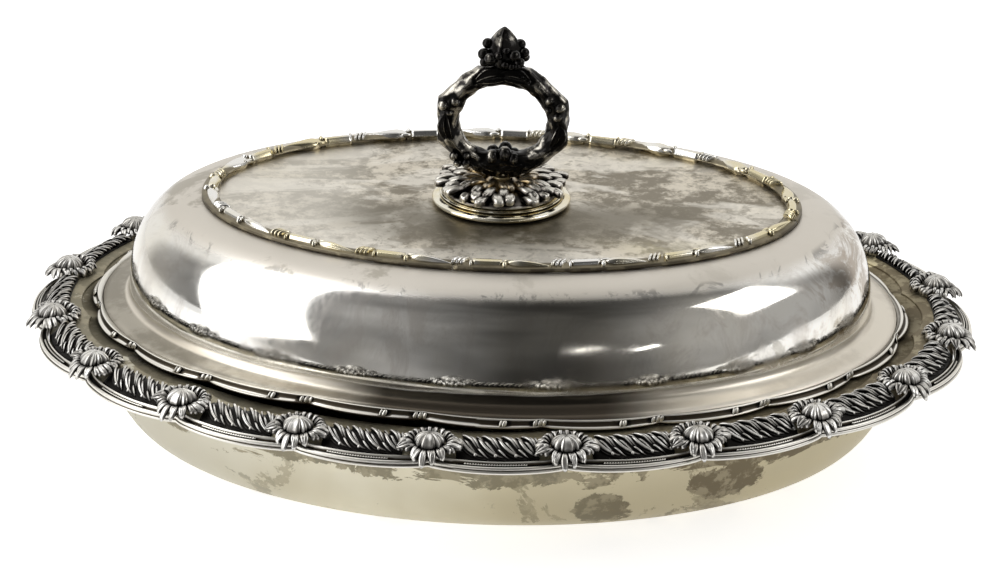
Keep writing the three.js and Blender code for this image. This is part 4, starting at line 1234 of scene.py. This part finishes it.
def lay_blade(root, bend, tip, width, rise, thickness):
    """Lays a unit blade along a curve from its root to its tip."""
    root, bend, tip = (np.array(spot, float) for spot in (root, bend, tip))

    def place(points):
        t, s, h = points.T
        way = t[:, None]
        spots = root * (1 - way) ** 2 + 2 * bend * way * (1 - way) + tip * way ** 2
        heading = (bend - root) * (1 - way) + (tip - bend) * way
        heading = heading / np.linalg.norm(heading, axis=1, keepdims=True)
        side = np.column_stack([-heading[:, 1], heading[:, 0]])
        spots = spots + side * (s * width / 2)[:, None]
        height = 0.15 + rise * np.sin(np.pi * np.clip(t, 0, 1) ** 1.5 * 0.8) + h * thickness
        return np.column_stack([spots, height])
    return place


def make_garland(sizes):
    """Leaves on a dark ground, laid out flat, in millimetres: x from the mouth's side outwards,
    y along the rim."""
    blade = unit_blade(PETAL_SECTION, 0.62, 0.60)
    body = unit_blade(LEAF_SECTION, 0.55, 0.60)
    set_values(body, "crest", BODY_CREST)
    pieces = []
    pitch = (2 * GARLAND_HALF_LENGTH - 0.6) / sizes.garland_leaves
    for leaf in range(1, sizes.garland_leaves + 1):
        foot = -GARLAND_HALF_LENGTH - 0.7 + leaf * pitch
        drawn_in = LAST_LEAF_SHARE if leaf == sizes.garland_leaves else 1
        for source, shapes in ((blade, GARLAND_BLADES), (body, GARLAND_BODIES)):
            for *curve, width, rise, thickness in shapes:
                spots = [(x, foot + (y * drawn_in if y > 0 else y)) for x, y in curve]
                place = lay_blade(*spots, width, rise, thickness)
                pieces.append(copied(source, f"blade_{len(pieces)}", place))
        pieces.append(berry("dot", (8.1, foot + 0.4, 0.7), 0.55, (1, 1.1, 0.9), 8, 6))
    along = np.linspace(-GARLAND_HALF_LENGTH, GARLAND_HALF_LENGTH, 25)
    rings = [[(x, y, z) for x, z in GARLAND_GROUND] for y in along]
    ground = loft("ground", rings)
    set_values(ground, "crest", 0.0)
    garland = joined("garland", [ground, *pieces])
    discard(blade, body)
    mark_recesses(garland, 2.0, rubbed=(0.45, 1.15))
    return garland


def lay_garland(rim, number, rim_height):
    """Bends a flat garland round its lobe and lays it on the flange."""
    pitch = rim.length / LOBES

    def place(points):
        x, y, z = points.T
        lobe = number + y / pitch
        outward = GARLAND_INNER + x / GARLAND_WIDTH * (flange_edge(lobe) - EDGE_GAP - GARLAND_INNER)
        height = flange_top(lobe, outward, rim_height) + FIT_GAP + z
        return rim.place(rim.angles(lobe / LOBES), outward, height) * MM
    return place


class COVERED_DISH_OT_garlands(bpy.types.Operator):
    """Makes one garland of leaves and lays a copy on each lobe of the rim"""
    bl_idname = "covered_dish.garlands"
    bl_label = "Garlands"

    def execute(self, context):
        sizes = context.scene.covered_dish_sizes
        set_round_rim(make_garland(sizes), lay_garland, "rim_garland", sizes)
        return {"FINISHED"}


# The lid

LID_STATIONS = 240
# What draws the lid's outline out between its named points, and the margin round its flat top
DOME_BENDS = ((124.2, 64.0), (117.8, 79.9))
COVE_BEND = (-2.2, 1.1)
COVE_RISE = (-0.3, 0.9)
TOP_MARGIN = 1.0


def lid_angles():
    return Oval(LID_TOP[0], LID_TOP[0] - LID_STRETCH).angles(np.arange(LID_STATIONS) / LID_STATIONS)


def lid_ring(half_length, height):
    """A ring round the lid; on the flange it takes its share of the bend in the edge."""
    angle = lid_angles()
    lift_share = np.clip((half_length - LID_COVE[0]) / (LID_FLANGE[0] - LID_COVE[0]), 0, 1)
    oval = Oval(half_length, half_length - LID_STRETCH, 8)
    return on_lid(oval.place(angle, 0, height + edge_lift(angle) * lift_share))


def lid_outline():
    """Half-lengths and heights of the lid's outside, from the flange's edge to the flat top."""
    flange, cove, foot, top = (np.array(p) for p in (LID_FLANGE, LID_COVE, LID_WALL_FOOT, LID_TOP))
    dome = bezier(foot, *DOME_BENDS, top, 30)
    bend = cove + COVE_BEND
    curve = bezier(cove, bend, bend + COVE_RISE, foot, 8)
    plateau = np.array(PLATEAU)
    return np.vstack([
        flange, flange * 0.6 + cove * 0.4, flange * 0.25 + cove * 0.75, curve, dome[1:],
        top * 0.5 + plateau * 0.5, plateau, plateau - (TOP_MARGIN, 0.0)])


def moved_square(outline, distance):
    """The same outline moved square to itself."""
    before = np.vstack([outline[:1], outline[:-1]])
    after = np.vstack([outline[1:], outline[-1:]])
    along = after - before
    along = along / np.linalg.norm(along, axis=1, keepdims=True)
    return outline + np.column_stack([-along[:, 1], along[:, 0]]) * distance


def make_lid_shell():
    """The stamped lid: flange, cove, bulging wall, shoulder and flat top with its hole."""
    outside = lid_outline()
    inside = moved_square(outside, SHEET)
    inside[0] = outside[0] - (0, SHEET)
    inside[-1] = (outside[-1][0], PLATEAU[1] - SHEET)
    angle = lid_angles()

    def inner_ring(share, height):
        """A ring of the flat top, from the edge of the hole (0) to the edge of the top (1)."""
        edge = lid_ring(PLATEAU[0] - TOP_MARGIN, height)
        hole = on_lid(Oval(HOLE_RADIUS, HOLE_RADIUS, 8).place(angle, 0, height))
        return hole + (edge - hole) * share

    shares = (0.8, 0.6, 0.4, 0.2, 0.0)
    rings = [lid_ring(*point) for point in outside]
    rings += [inner_ring(s, PLATEAU[1]) for s in shares]
    rings += [inner_ring(s, PLATEAU[1] - SHEET) for s in reversed(shares)]
    rings += [lid_ring(*point) for point in reversed(inside)]
    return loft("lid_shell", rings, joined=True)


class COVERED_DISH_OT_lid(bpy.types.Operator):
    """Makes the stamped lid"""
    bl_idname = "covered_dish.lid"
    bl_label = "Lid"

    def execute(self, context):
        dress(make_lid_shell(), "bright_plate", "lid", "lid_shell")
        return {"FINISHED"}


# Sides of a fluted bar, and the height of its middle
REED_SIDES = 20
REED_LIFT = 0.95


def reed(name, stations, width_at, height_at, shift_at, grooves, hollow):
    """A fluted half-round bar along y; hollow sinks the face that looks outwards."""
    turns = np.arange(REED_SIDES) / REED_SIDES * TURN
    flute = 1 - 0.13 * np.abs(np.cos(turns * (grooves + 0.5))) ** 3 * (np.sin(turns) > 0.05)
    flute = flute - hollow * np.exp(-((turns - 0.45) / 0.38) ** 2)
    rings = []
    for y in stations:
        half, tall = width_at(y) / 2, height_at(y)
        rings.append(np.column_stack([
            shift_at(y) + half * np.cos(turns) * flute, np.full(REED_SIDES, y),
            REED_LIFT + tall * np.sin(turns) * flute]))
    return loft(name, rings)


# Section of the lid's moulding: share of its width, height above its foot, and how rubbed it is; the low
# values on the lower lip are painted shade
LID_EDGE_SECTION = (
    (0.0, 0.0, 0.0), (0.72, 0.0, 0.0), (0.90, 0.25, 0.0), (1.0, 0.65, 0.3), (0.96, 1.0, 1.0),
    (0.86, 1.12, 1.0), (0.74, 1.2, 0.4), (0.63, 1.5, 0.0), (0.57, 2.0, 0.0), (0.555, 2.45, 0.1),
    (0.53, 2.8, 0.9), (0.44, 3.0, 1.0), (0.34, 2.9, 0.8), (0.26, 2.6, 0.3), (0.0, 2.55, 0.3),
)
LID_EDGE_PER_LOBE = 16
LID_EDGE_FOOT = 41.8
LID_EDGE_HALF_LENGTH = 133.3
# Width of the moulding in the middle of a lobe, and how much narrower it is at a cusp
LID_EDGE_WIDTH = 3.8
LID_EDGE_NARROWING = 2.5
# Bars across the hollow of the moulding: place along the lobe and half-length along it, in millimetres
LID_EDGE_BARS = ((6.4, 0.5), (7.7, 0.9), (18.4, 0.8), (20.2, 0.9), (-20.1, 0.7))


def make_edge_bars():
    """The bars on one lobe of the lid's moulding, flat: x is the share of the width across it,
    y along the lobe in millimetres, z in millimetres."""
    bars = []
    for middle, half in LID_EDGE_BARS:
        bar = berry("bar", (0, 0, 0), 1.0, (1, 1, 1), 10, 8)
        x, y, z = corners_of(bar).T
        set_corners(bar, np.column_stack([
            0.74 - 0.16 * z + 0.12 * x, middle + half * y + 0.35 * z, 1.75 + 1.05 * z + 0.35 * x]))
        bars.append(bar)
    return joined("edge_bars", bars)


def make_lid_edge(sizes):
    """The lobed moulding round the lid: two lips with a hollow between them, crossed by bars."""
    oval = Oval(LID_EDGE_HALF_LENGTH, LID_EDGE_HALF_LENGTH - LID_STRETCH)
    rim = rim_oval(sizes)

    def lay(lobe, across, up):
        angle = rim.angles(lobe / LOBES)
        width = LID_EDGE_WIDTH - LID_EDGE_NARROWING * lobe_share(lobe)
        height = LID_EDGE_FOOT + edge_lift(angle) + up
        return on_lid(oval.place(angle, width * across, height))

    pitch = rim.length / LOBES
    return lobed_moulding(
        "lid_edge_moulding", LID_EDGE_SECTION, LID_EDGE_PER_LOBE, lay, make_edge_bars(), pitch)


class COVERED_DISH_OT_lid_edge(bpy.types.Operator):
    """Makes the lobed reeded moulding on the edge of the lid"""
    bl_idname = "covered_dish.lid_edge"
    bl_label = "Lid moulding"

    def execute(self, context):
        piece = make_lid_edge(context.scene.covered_dish_sizes)
        dress(piece, "bright_moulding", "lid", "lid_edge_moulding", reach=0.0025)
        return {"FINISHED"}


BORDER_STRIPS = 4
BORDER_UNITS = 16
BORDER_TURN = -0.38
BORDER_RIDGE = 96.9
BORDER_FOOT = 80.2
BORDER_SLOPE = 0.2 / 6.5
# Section of the ribbon: outwards of the ridge and up from the foot
RIBBON_SECTION = (
    (-2.7, 0.0), (2.7, 0.0), (2.72, 0.6), (2.55, 1.15), (1.8, 1.25), (1.2, 1.75), (0.0, 1.95),
    (-1.4, 1.8), (-2.1, 1.3), (-2.7, 1.0),
)
RIBBON_HALF_WIDTH = 2.7
RIBBON_OPENNESS = 0.45
# Least gap between two strips, and where a unit starts, as shares of a unit
STRIP_GAP = 0.006
UNIT_START = 0.06
# Knots on a unit: across, share of the unit's length along it, height, shape and count of sides
BORDER_KNOTS = (
    ("knot", 0.9, 0.455, 1.7, (1.3, 0.85, 1.35), 12), ("cut_end", 0.7, 0.115, 1.7, (1.4, 0.6, 1.3), 12),
    ("spur", -2.2, 0.50, 1.9, (0.7, 1.9, 0.6), 10),
)
BORDER_BEADS = 3


def make_border_unit(length):
    """One unit of the foot border, flat: x outwards, y along, in millimetres: three slanting beads, a
    scrolled reed, a knot and a hollow pod that tapers to a point."""
    def scroll_width(y):
        return 4.3 - 0.6 * np.clip(y / (length * 0.4), 0, 1)

    def along_pod(y):
        return np.clip((y - length * 0.49) / (length * 0.42), 0, 1)

    def pod_width(y):
        t = along_pod(y)
        return 4.9 * (0.55 + 0.45 * math.sin(math.pi * min(t * 1.6, 0.5))) * (1 - t ** 2.2) + 0.5

    scroll = np.linspace(length * 0.125, length * 0.43, 10)
    pod = np.linspace(length * 0.485, length * 0.915, 14)
    pieces = [
        reed("scroll", scroll, scroll_width, lambda y: 2.05, lambda y: -0.55, 2, 0.20),
        reed("pod", pod, pod_width, lambda y: 0.5 + pod_width(y) * 0.36,
             lambda y: -0.5 + 1.5 * along_pod(y) ** 2, 1, 0.34)]
    for name, x, share, z, shape, sides in BORDER_KNOTS:
        pieces.append(berry(name, (x, length * share, z), 1.0, shape, sides, 8))
    for number in range(BORDER_BEADS):
        bead = berry("bead", (0, 0, 0), 1.0, (1, 1, 1), 12, 8)
        x, y, z = corners_of(bead).T
        lean = length * (-0.035 + 0.045 * number)
        set_corners(bead, np.column_stack([-0.6 + 2.1 * x, lean - 1.3 * x + 0.72 * y, 1.85 + 1.45 * z]))
        pieces.append(bead)
    unit = joined("border_unit", pieces)
    mark_recesses(unit, 2.5)
    return unit


def make_border_strip(strip, unit, length):
    """A quarter of the ornamental ring on the lid's top."""
    oval = Oval(BORDER_RIDGE, BORDER_RIDGE - LID_STRETCH)
    units = BORDER_UNITS // BORDER_STRIPS
    first = strip * units + BORDER_TURN

    def lay(at, x, z):
        height = BORDER_FOOT - BORDER_SLOPE * (RIBBON_HALF_WIDTH - x) + z
        return on_lid(oval.place(oval.angles(at / BORDER_UNITS), x, height))

    stations = np.linspace(first + STRIP_GAP, first + units - STRIP_GAP, 81)
    rings = [np.array([lay(at, x, z) for x, z in RIBBON_SECTION]).reshape(-1, 3) for at in stations]
    pieces = [loft("ribbon", rings)]
    set_values(pieces[0], "open", RIBBON_OPENNESS)
    for number in range(units):
        def place(points, start=first + number + UNIT_START):
            x, y, z = points.T
            return lay(start + y / length, x, z)
        pieces.append(copied(unit, f"unit_{number}", place))
    return joined("border", pieces)


class COVERED_DISH_OT_borders(bpy.types.Operator):
    """Makes the ornamental ring on the lid's top, in four strips"""
    bl_idname = "covered_dish.borders"
    bl_label = "Foot border"

    def execute(self, context):
        length = Oval(BORDER_RIDGE, BORDER_RIDGE - LID_STRETCH).length / BORDER_UNITS
        unit = make_border_unit(length)
        for strip in range(BORDER_STRIPS):
            node = f"lid_foot_border_{strip + 1}"
            dress(make_border_strip(strip, unit, length), "foot_border", "lid", node)
        discard(unit)
        return {"FINISHED"}


# The handle

RING_MIDDLE = 108.25
RING_HALF = (22.1, 19.05)
HOLE_HALF = (14.1, 12.05)
OCTAGON_SHARPNESS = 0.62
KNOT_RISE = 2.2
RING_STATIONS = 160
RING_SIDES = 24
RING_HALF_DEPTH = 3.45
# Berries of the ring, right and up of its middle, with their radius
RING_BERRIES = (
    (15.4, 8.3, 1.7), (18.7, 5.7, 1.9), (18.0, 2.6, 1.7), (15.0, 4.9, 1.2), (-19.4, 5.4, 1.9),
    (-15.8, 6.8, 1.7), (-17.6, 2.9, 1.3), (-15.7, -12.2, 1.7), (-11.6, -12.1, 1.4), (-14.5, -14.6, 1.5),
    (-11.7, -14.6, 1.6),
)
# Knobs of the knot at its foot, in the same way
RING_KNOBS = (
    (-3.2, -12.4, 2.3), (0.9, -11.3, 2.4), (3.9, -12.9, 2.0), (-1.2, -17.0, 1.8), (2.3, -17.2, 1.7))
# Humps along the ring: degrees round from the right, half-length in degrees and height in millimetres
RING_HUMPS = (
    (24, 7, 0.6), (52, 5, 0.35), (70, 6, 0.3), (128, 8, 0.4), (160, 7, 0.8), (184, 5, -0.3),
    (203, 7, 0.7), (232, 5, 0.5), (308, 6, 0.5), (330, 6, 0.7), (350, 6, -0.3),
)
# Leaves that wrap the ring: degrees round it, length along it in degrees and width in millimetres
RING_WRAPS = (
    (118, -38, 5.6), (62, 34, 5.2), (205, -34, 4.6), (330, 30, 4.8), (248, 24, 5.2), (292, -24, 5.2),
)


def octagon(turn):
    """How far out an oval's outline stands at a turn when it is squared off to eight flats."""
    from_flat = np.mod(turn + TURN / 16, TURN / 8) - TURN / 16
    return 1 + OCTAGON_SHARPNESS * (1 / math.cos(from_flat) - 1)


def lid_berry(x, y, z, radius, shape, segments, rings):
    """A berry of the handle, at its place on the lid."""
    piece = berry("berry", (x, y, z), radius, shape, segments, rings)
    set_corners(piece, on_lid(corners_of(piece)))
    return piece


def ring_station(turn, side_turn):
    """Points round the twig at a turn of the ring, with its bark, humps and knot."""
    knot = max(-math.sin(turn), 0) ** 14
    cos, sin = math.cos(turn), math.sin(turn)
    outer = np.array([RING_HALF[0] * cos, RING_HALF[1] * sin]) * octagon(turn)
    inner = np.array([HOLE_HALF[0] * cos, HOLE_HALF[1] * sin + KNOT_RISE * knot])
    thick = np.linalg.norm(outer - inner)
    out = (outer - inner) / thick
    hump = sum(height * math.exp(-(((math.degrees(turn) - at + 180) % 360 - 180) / wide) ** 2)
               for at, wide, height in RING_HUMPS)
    ridges = 0.075 * np.sin(5 * side_turn + 4 * math.sin(3 * turn))
    bark = 0.97 + ridges + 0.045 * np.sin(8 * side_turn - 11 * turn)
    wide = (thick / 2 - 0.30) * bark + 0.5 * hump
    deep = (RING_HALF_DEPTH + 0.6 * knot) * bark + 0.4 * hump
    x, z = (outer + inner)[:, None] / 2 + out[:, None] * wide * np.cos(side_turn)
    return on_lid(np.column_stack([x, deep * np.sin(side_turn), RING_MIDDLE + z]))


def wrap_leaf(at, long, width, side):
    """Lays a unit blade round the twig, on its front (-1) or its back (1)."""
    def place(points):
        t, s, h = points.T
        turn = np.radians(at + long * t)
        across = s * width / 2 + 0.8 * np.sin(3 * t)
        half_x, half_z = ((outer + inner) / 2 * 1.03 for outer, inner in zip(RING_HALF, HOLE_HALF))
        bulge = 3.35 - 0.10 * across ** 2 + 0.55 * h + 0.35 * np.sin(math.pi * t)
        x, z = (half_x + across) * np.cos(turn), (half_z + across) * np.sin(turn)
        return on_lid(np.column_stack([x, side * bulge, RING_MIDDLE + z]))
    return place


def make_ring():
    """The twig ring: an eight-cornered loop with bark ridges, humps, berries, leaf wraps and a knot."""
    side_turn = np.arange(RING_SIDES) / RING_SIDES * TURN
    rings = [ring_station(station / RING_STATIONS * TURN, side_turn) for station in range(RING_STATIONS)]
    blade = unit_blade(LEAF_SECTION, 0.45, 0.8)
    pieces = [loft("handle_ring", rings, joined=True)]
    for side in (-1, 1):
        pieces += [lid_berry(x, side * 3.0, RING_MIDDLE + z, radius, (1, 0.9, 1), 14, 9)
                   for x, z, radius in RING_BERRIES]
        pieces += [copied(blade, "wrap", wrap_leaf(*wrap, side)) for wrap in RING_WRAPS]
        pieces += [lid_berry(x, side * 2.4, RING_MIDDLE + z, radius, (1.0, 0.9, 1.25), 12, 8)
                   for x, z, radius in RING_KNOBS]
    discard(blade)
    ring = joined("handle_ring", pieces)
    bpy.ops.object.mode_set(mode="EDIT")
    bpy.ops.mesh.select_all(action="SELECT")
    bpy.ops.mesh.normals_make_consistent(inside=False)
    bpy.ops.object.mode_set(mode="OBJECT")
    return ring


FINIAL_FOOT = 127.6
FINIAL_TOP = 140.6
FINIAL_SIDES = 32
FINIAL_RADIUS = 5.5
# How rubbed the finial's berries are
FINIAL_CREST = 0.8
# Berries of the finial: right, towards the back, height and radius
FINIAL_BERRIES = (
    (-4.1, -4.7, 130.9, 2.2), (3.5, -5.1, 132.4, 2.0), (5.0, -4.2, 129.8, 1.9), (-6.6, -1.0, 131.2, 2.1),
    (6.4, -0.6, 132.0, 1.9), (-5.5, 1.2, 134.2, 1.9), (5.1, 0.8, 134.4, 1.9), (-4.4, 4.8, 131.2, 2.2),
    (3.8, 4.9, 132.4, 2.1), (0.4, 5.9, 130.0, 2.0), (2.7, -5.6, 128.8, 1.2), (4.6, -5.4, 128.8, 1.0),
    (0.6, -5.7, 129.4, 1.4), (-6.3, -3.4, 129.2, 1.6), (6.6, 2.8, 129.4, 1.7), (-6.7, 2.5, 129.2, 1.6),
    (-1.6, -5.4, 132.2, 1.5), (0.9, -5.6, 134.0, 1.3),
)


def make_finial():
    """A pointed bud of folded leaves, standing in a cluster of berries."""
    turn = np.arange(FINIAL_SIDES) / FINIAL_SIDES * TURN
    seam = np.exp(-(np.mod(turn * 4 / TURN + 0.6, 1) - 0.5) ** 2 / 0.006)
    fold = 0.16 * np.abs(np.sin(2 * turn + 0.6)) ** 0.6 - 0.10 * seam
    rings = []
    for t in np.linspace(0.0, 0.985, 20):
        radius = FINIAL_RADIUS * math.sin(math.pi * (0.30 + 0.70 * t)) ** 0.72 * (1.06 - fold)
        height = FINIAL_FOOT + (FINIAL_TOP - FINIAL_FOOT) * t
        rings.append(on_lid(round_ring(radius, height, FINIAL_SIDES)))
    pieces = [loft("bud", rings)]
    for spot in FINIAL_BERRIES:
        piece = lid_berry(*spot, (1, 1, 0.95), 16, 10)
        set_values(piece, "crest", FINIAL_CREST)
        pieces.append(piece)
    return joined("handle_finial", pieces)


def turned_piece(name, profile, sides):
    """A turned piece: a closed outline of radius and height in millimetres, round the handle's axis."""
    rings = [on_lid(round_ring(radius, height, sides)) for radius, height in profile]
    return loft(name, rings, joined=True)


ROSETTE_FOOT = 83.9
ROSETTE_LEAVES = 17
LEAF_THICKNESS = 1.7
# Outline of the rosette's disc: radius and height above its foot
ROSETTE_DISC = (
    (HOLE_RADIUS, 0.0), (19.0, 0.0), (19.6, 0.5), (18.6, 1.4), (12.5, 3.2), (10.0, 3.3), (8.0, 2.6),
    (5.6, 2.9), (HOLE_RADIUS, 4.4),
)
# Rows of leaves: first turn, start, reach, width, height of their foot, rise, droop and lift of the tip
ROSETTE_ROWS = (
    (0.0, 15.0, 23.2, 3.9, 1.2, 1.3, 0.1, 0.7), (0.5, 13.0, 22.0, 4.3, 1.9, 1.5, 0.9, 0.8),
    (0.2, 9.0, 18.4, 4.0, 2.6, 1.4, 1.1, 0.7), (0.7, 6.0, 13.2, 3.0, 3.2, 0.9, 0.3, 0.2),
)


def make_rosette():
    """The rosette: four rows of curled leaves on a disc, sunk in the middle round the stud."""
    disc = [(radius, ROSETTE_FOOT + height) for radius, height in ROSETTE_DISC]
    pieces = [turned_piece("disc", disc, 64)]
    blade = unit_blade(PETAL_SECTION, 0.80, 0.35)
    for first, start, reach, width, foot, rise, droop, tip in ROSETTE_ROWS:
        for number in range(ROSETTE_LEAVES):
            turn = (number + first) / ROSETTE_LEAVES * TURN + 0.05 * math.sin(number * 2.3)
            curl = 1.9 * math.sin(number * 1.7 + start)
            stretch = 1 - 0.05 * (1 + math.sin(number * 2.9 + start))
            lay = place_petal(turn, start, reach * stretch, width, LEAF_THICKNESS, rise, droop, curl, tip)
            leaf = copied(blade, "leaf", lay)
            set_corners(leaf, on_lid(corners_of(leaf) + (0, 0, ROSETTE_FOOT + foot)))
            pieces.append(leaf)
    discard(blade)
    return joined("handle_rosette", pieces)


def half_round(radius, middle, bulge, tall, steps):
    """The outline of a rolled bead on the outside of a turned piece, from its foot upwards."""
    turns = np.linspace(-math.pi / 2, math.pi / 2, steps)
    return [(radius + bulge * math.cos(t), middle + tall / 2 * math.sin(t)) for t in turns]


COLLAR_FOOT = 80.0
# Outline of the collar: radius and height above its foot
COLLAR_PROFILE = (
    (HOLE_RADIUS, 0.0), *half_round(20.2, 1.3, 2.85, 2.6, 14), (19.7, 2.65), (19.5, 2.8), (19.5, 2.95),
    *half_round(19.6, 3.28, 1.0, 0.6, 7), (18.6, 3.6), (HOLE_RADIUS, 3.6),
)


def make_collar():
    """The spun collar: one broad roll, a groove and a thin neck."""
    profile = [(radius, COLLAR_FOOT + height) for radius, height in COLLAR_PROFILE]
    return turned_piece("handle_collar", profile, 128)


# The bush: radius and chamfer of its sleeve, then radius, thickness and chamfer of its flange
BUSH_RADIUS = 7.0
BUSH_CHAMFER = 0.4
BUSH_FLANGE_RADIUS = 10.5
BUSH_FLANGE_HEIGHT = 1.2
BUSH_FLANGE_CHAMFER = 0.3


def make_bush():
    """The bush: a sleeve with a flange under the lid's top."""
    low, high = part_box("lid_bush")
    foot, top = low.z / MM, high.z / MM
    above_foot = foot + BUSH_CHAMFER
    under_flange = top - BUSH_FLANGE_HEIGHT
    profile = [
        (HOLE_RADIUS, top), (HOLE_RADIUS, above_foot), (HOLE_RADIUS + BUSH_CHAMFER, foot),
        (BUSH_RADIUS - BUSH_CHAMFER, foot), (BUSH_RADIUS, above_foot), (BUSH_RADIUS, under_flange),
        (BUSH_FLANGE_RADIUS - BUSH_FLANGE_CHAMFER, under_flange),
        (BUSH_FLANGE_RADIUS, under_flange + BUSH_FLANGE_CHAMFER), (BUSH_FLANGE_RADIUS, top)]
    return turned_piece("lid_bush", profile, 64)


# The stud: pitch, depth and span of its thread above its foot, its radius and the chamfer at its ends
THREAD_PITCH = 1.25
THREAD_DEPTH = 0.45
THREAD_SPAN = (0.6, 8.0)
STUD_RADIUS = 2.98
STUD_CHAMFER = 0.3
STUD_SIDES = 32
RINGS_PER_TURN = 6


def make_stud():
    """The stud, with its thread as shallow turns on the part in the bush and in the lid's top."""
    low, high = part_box("handle_stud")
    foot, top = low.z / MM, high.z / MM
    turn = np.arange(STUD_SIDES) / STUD_SIDES
    steps = int((top - foot) / THREAD_PITCH * RINGS_PER_TURN)
    rings = []
    for step in range(steps + 1):
        z = foot + (top - foot) * step / steps
        threaded = THREAD_SPAN[0] < z - foot < THREAD_SPAN[1]
        wave = np.abs(np.mod(z / THREAD_PITCH - turn, 1) - 0.5) * 2
        radius = STUD_RADIUS - THREAD_DEPTH * wave * threaded
        if step in (0, steps):
            radius = radius - STUD_CHAMFER
        rings.append(on_lid(round_ring(radius, z, STUD_SIDES)))
    return loft("handle_stud", rings)


class COVERED_DISH_OT_handle(bpy.types.Operator):
    """Makes the handle: collar, rosette, ring, finial, stud and the bush under the lid"""
    bl_idname = "covered_dish.handle"
    bl_label = "Handle"

    def execute(self, context):
        dress(make_ring(), "dark_casting", "handle", "handle_ring", reach=0.004)
        dress(make_finial(), "dark_casting", "handle", "handle_finial", reach=0.004)
        dress(make_rosette(), "tarnished_casting", "handle", "handle_rosette", reach=0.004)
        dress(make_stud(), "bare_brass", "handle", "handle_stud")
        dress(make_collar(), "worn_collar", "collar", "handle_collar", reach=0.004)
        dress(make_bush(), "bare_brass", "lid", "lid_bush")
        return {"FINISHED"}


OPERATORS = (
    COVERED_DISH_OT_stage, COVERED_DISH_OT_bowl, COVERED_DISH_OT_edge_bead, COVERED_DISH_OT_flowers,
    COVERED_DISH_OT_garlands, COVERED_DISH_OT_lid, COVERED_DISH_OT_lid_edge, COVERED_DISH_OT_borders,
    COVERED_DISH_OT_handle,
)


class COVERED_DISH_PT_panel(bpy.types.Panel):
    """Lists the steps that make the dish"""
    bl_idname = "COVERED_DISH_PT_panel"
    bl_label = "Covered Dish"
    bl_space_type = "VIEW_3D"
    bl_region_type = "UI"
    bl_category = "Covered Dish"

    def draw(self, context):
        for group in ("covered_dish_sizes", "covered_dish_colours", "covered_dish_studio"):
            settings = getattr(context.scene, group)
            box = self.layout.box()
            for name in settings.__annotations__:
                box.prop(settings, name)
        for operator in OPERATORS:
            self.layout.operator(operator.bl_idname)


CLASSES = (DishSizes, DishColours, DishStudio, *OPERATORS, COVERED_DISH_PT_panel)


def register():
    for item in CLASSES:
        bpy.utils.register_class(item)
    bpy.types.Scene.covered_dish_sizes = PointerProperty(type=DishSizes)
    bpy.types.Scene.covered_dish_colours = PointerProperty(type=DishColours)
    bpy.types.Scene.covered_dish_studio = PointerProperty(type=DishStudio)


def unregister():
    del bpy.types.Scene.covered_dish_studio
    del bpy.types.Scene.covered_dish_colours
    del bpy.types.Scene.covered_dish_sizes
    for item in reversed(CLASSES):
        bpy.utils.unregister_class(item)


def main():
    register()
    for operator in OPERATORS:
        group, name = operator.bl_idname.split(".")
        getattr(getattr(bpy.ops, group), name)()
    deselect()


if __name__ == "__main__":
    main()
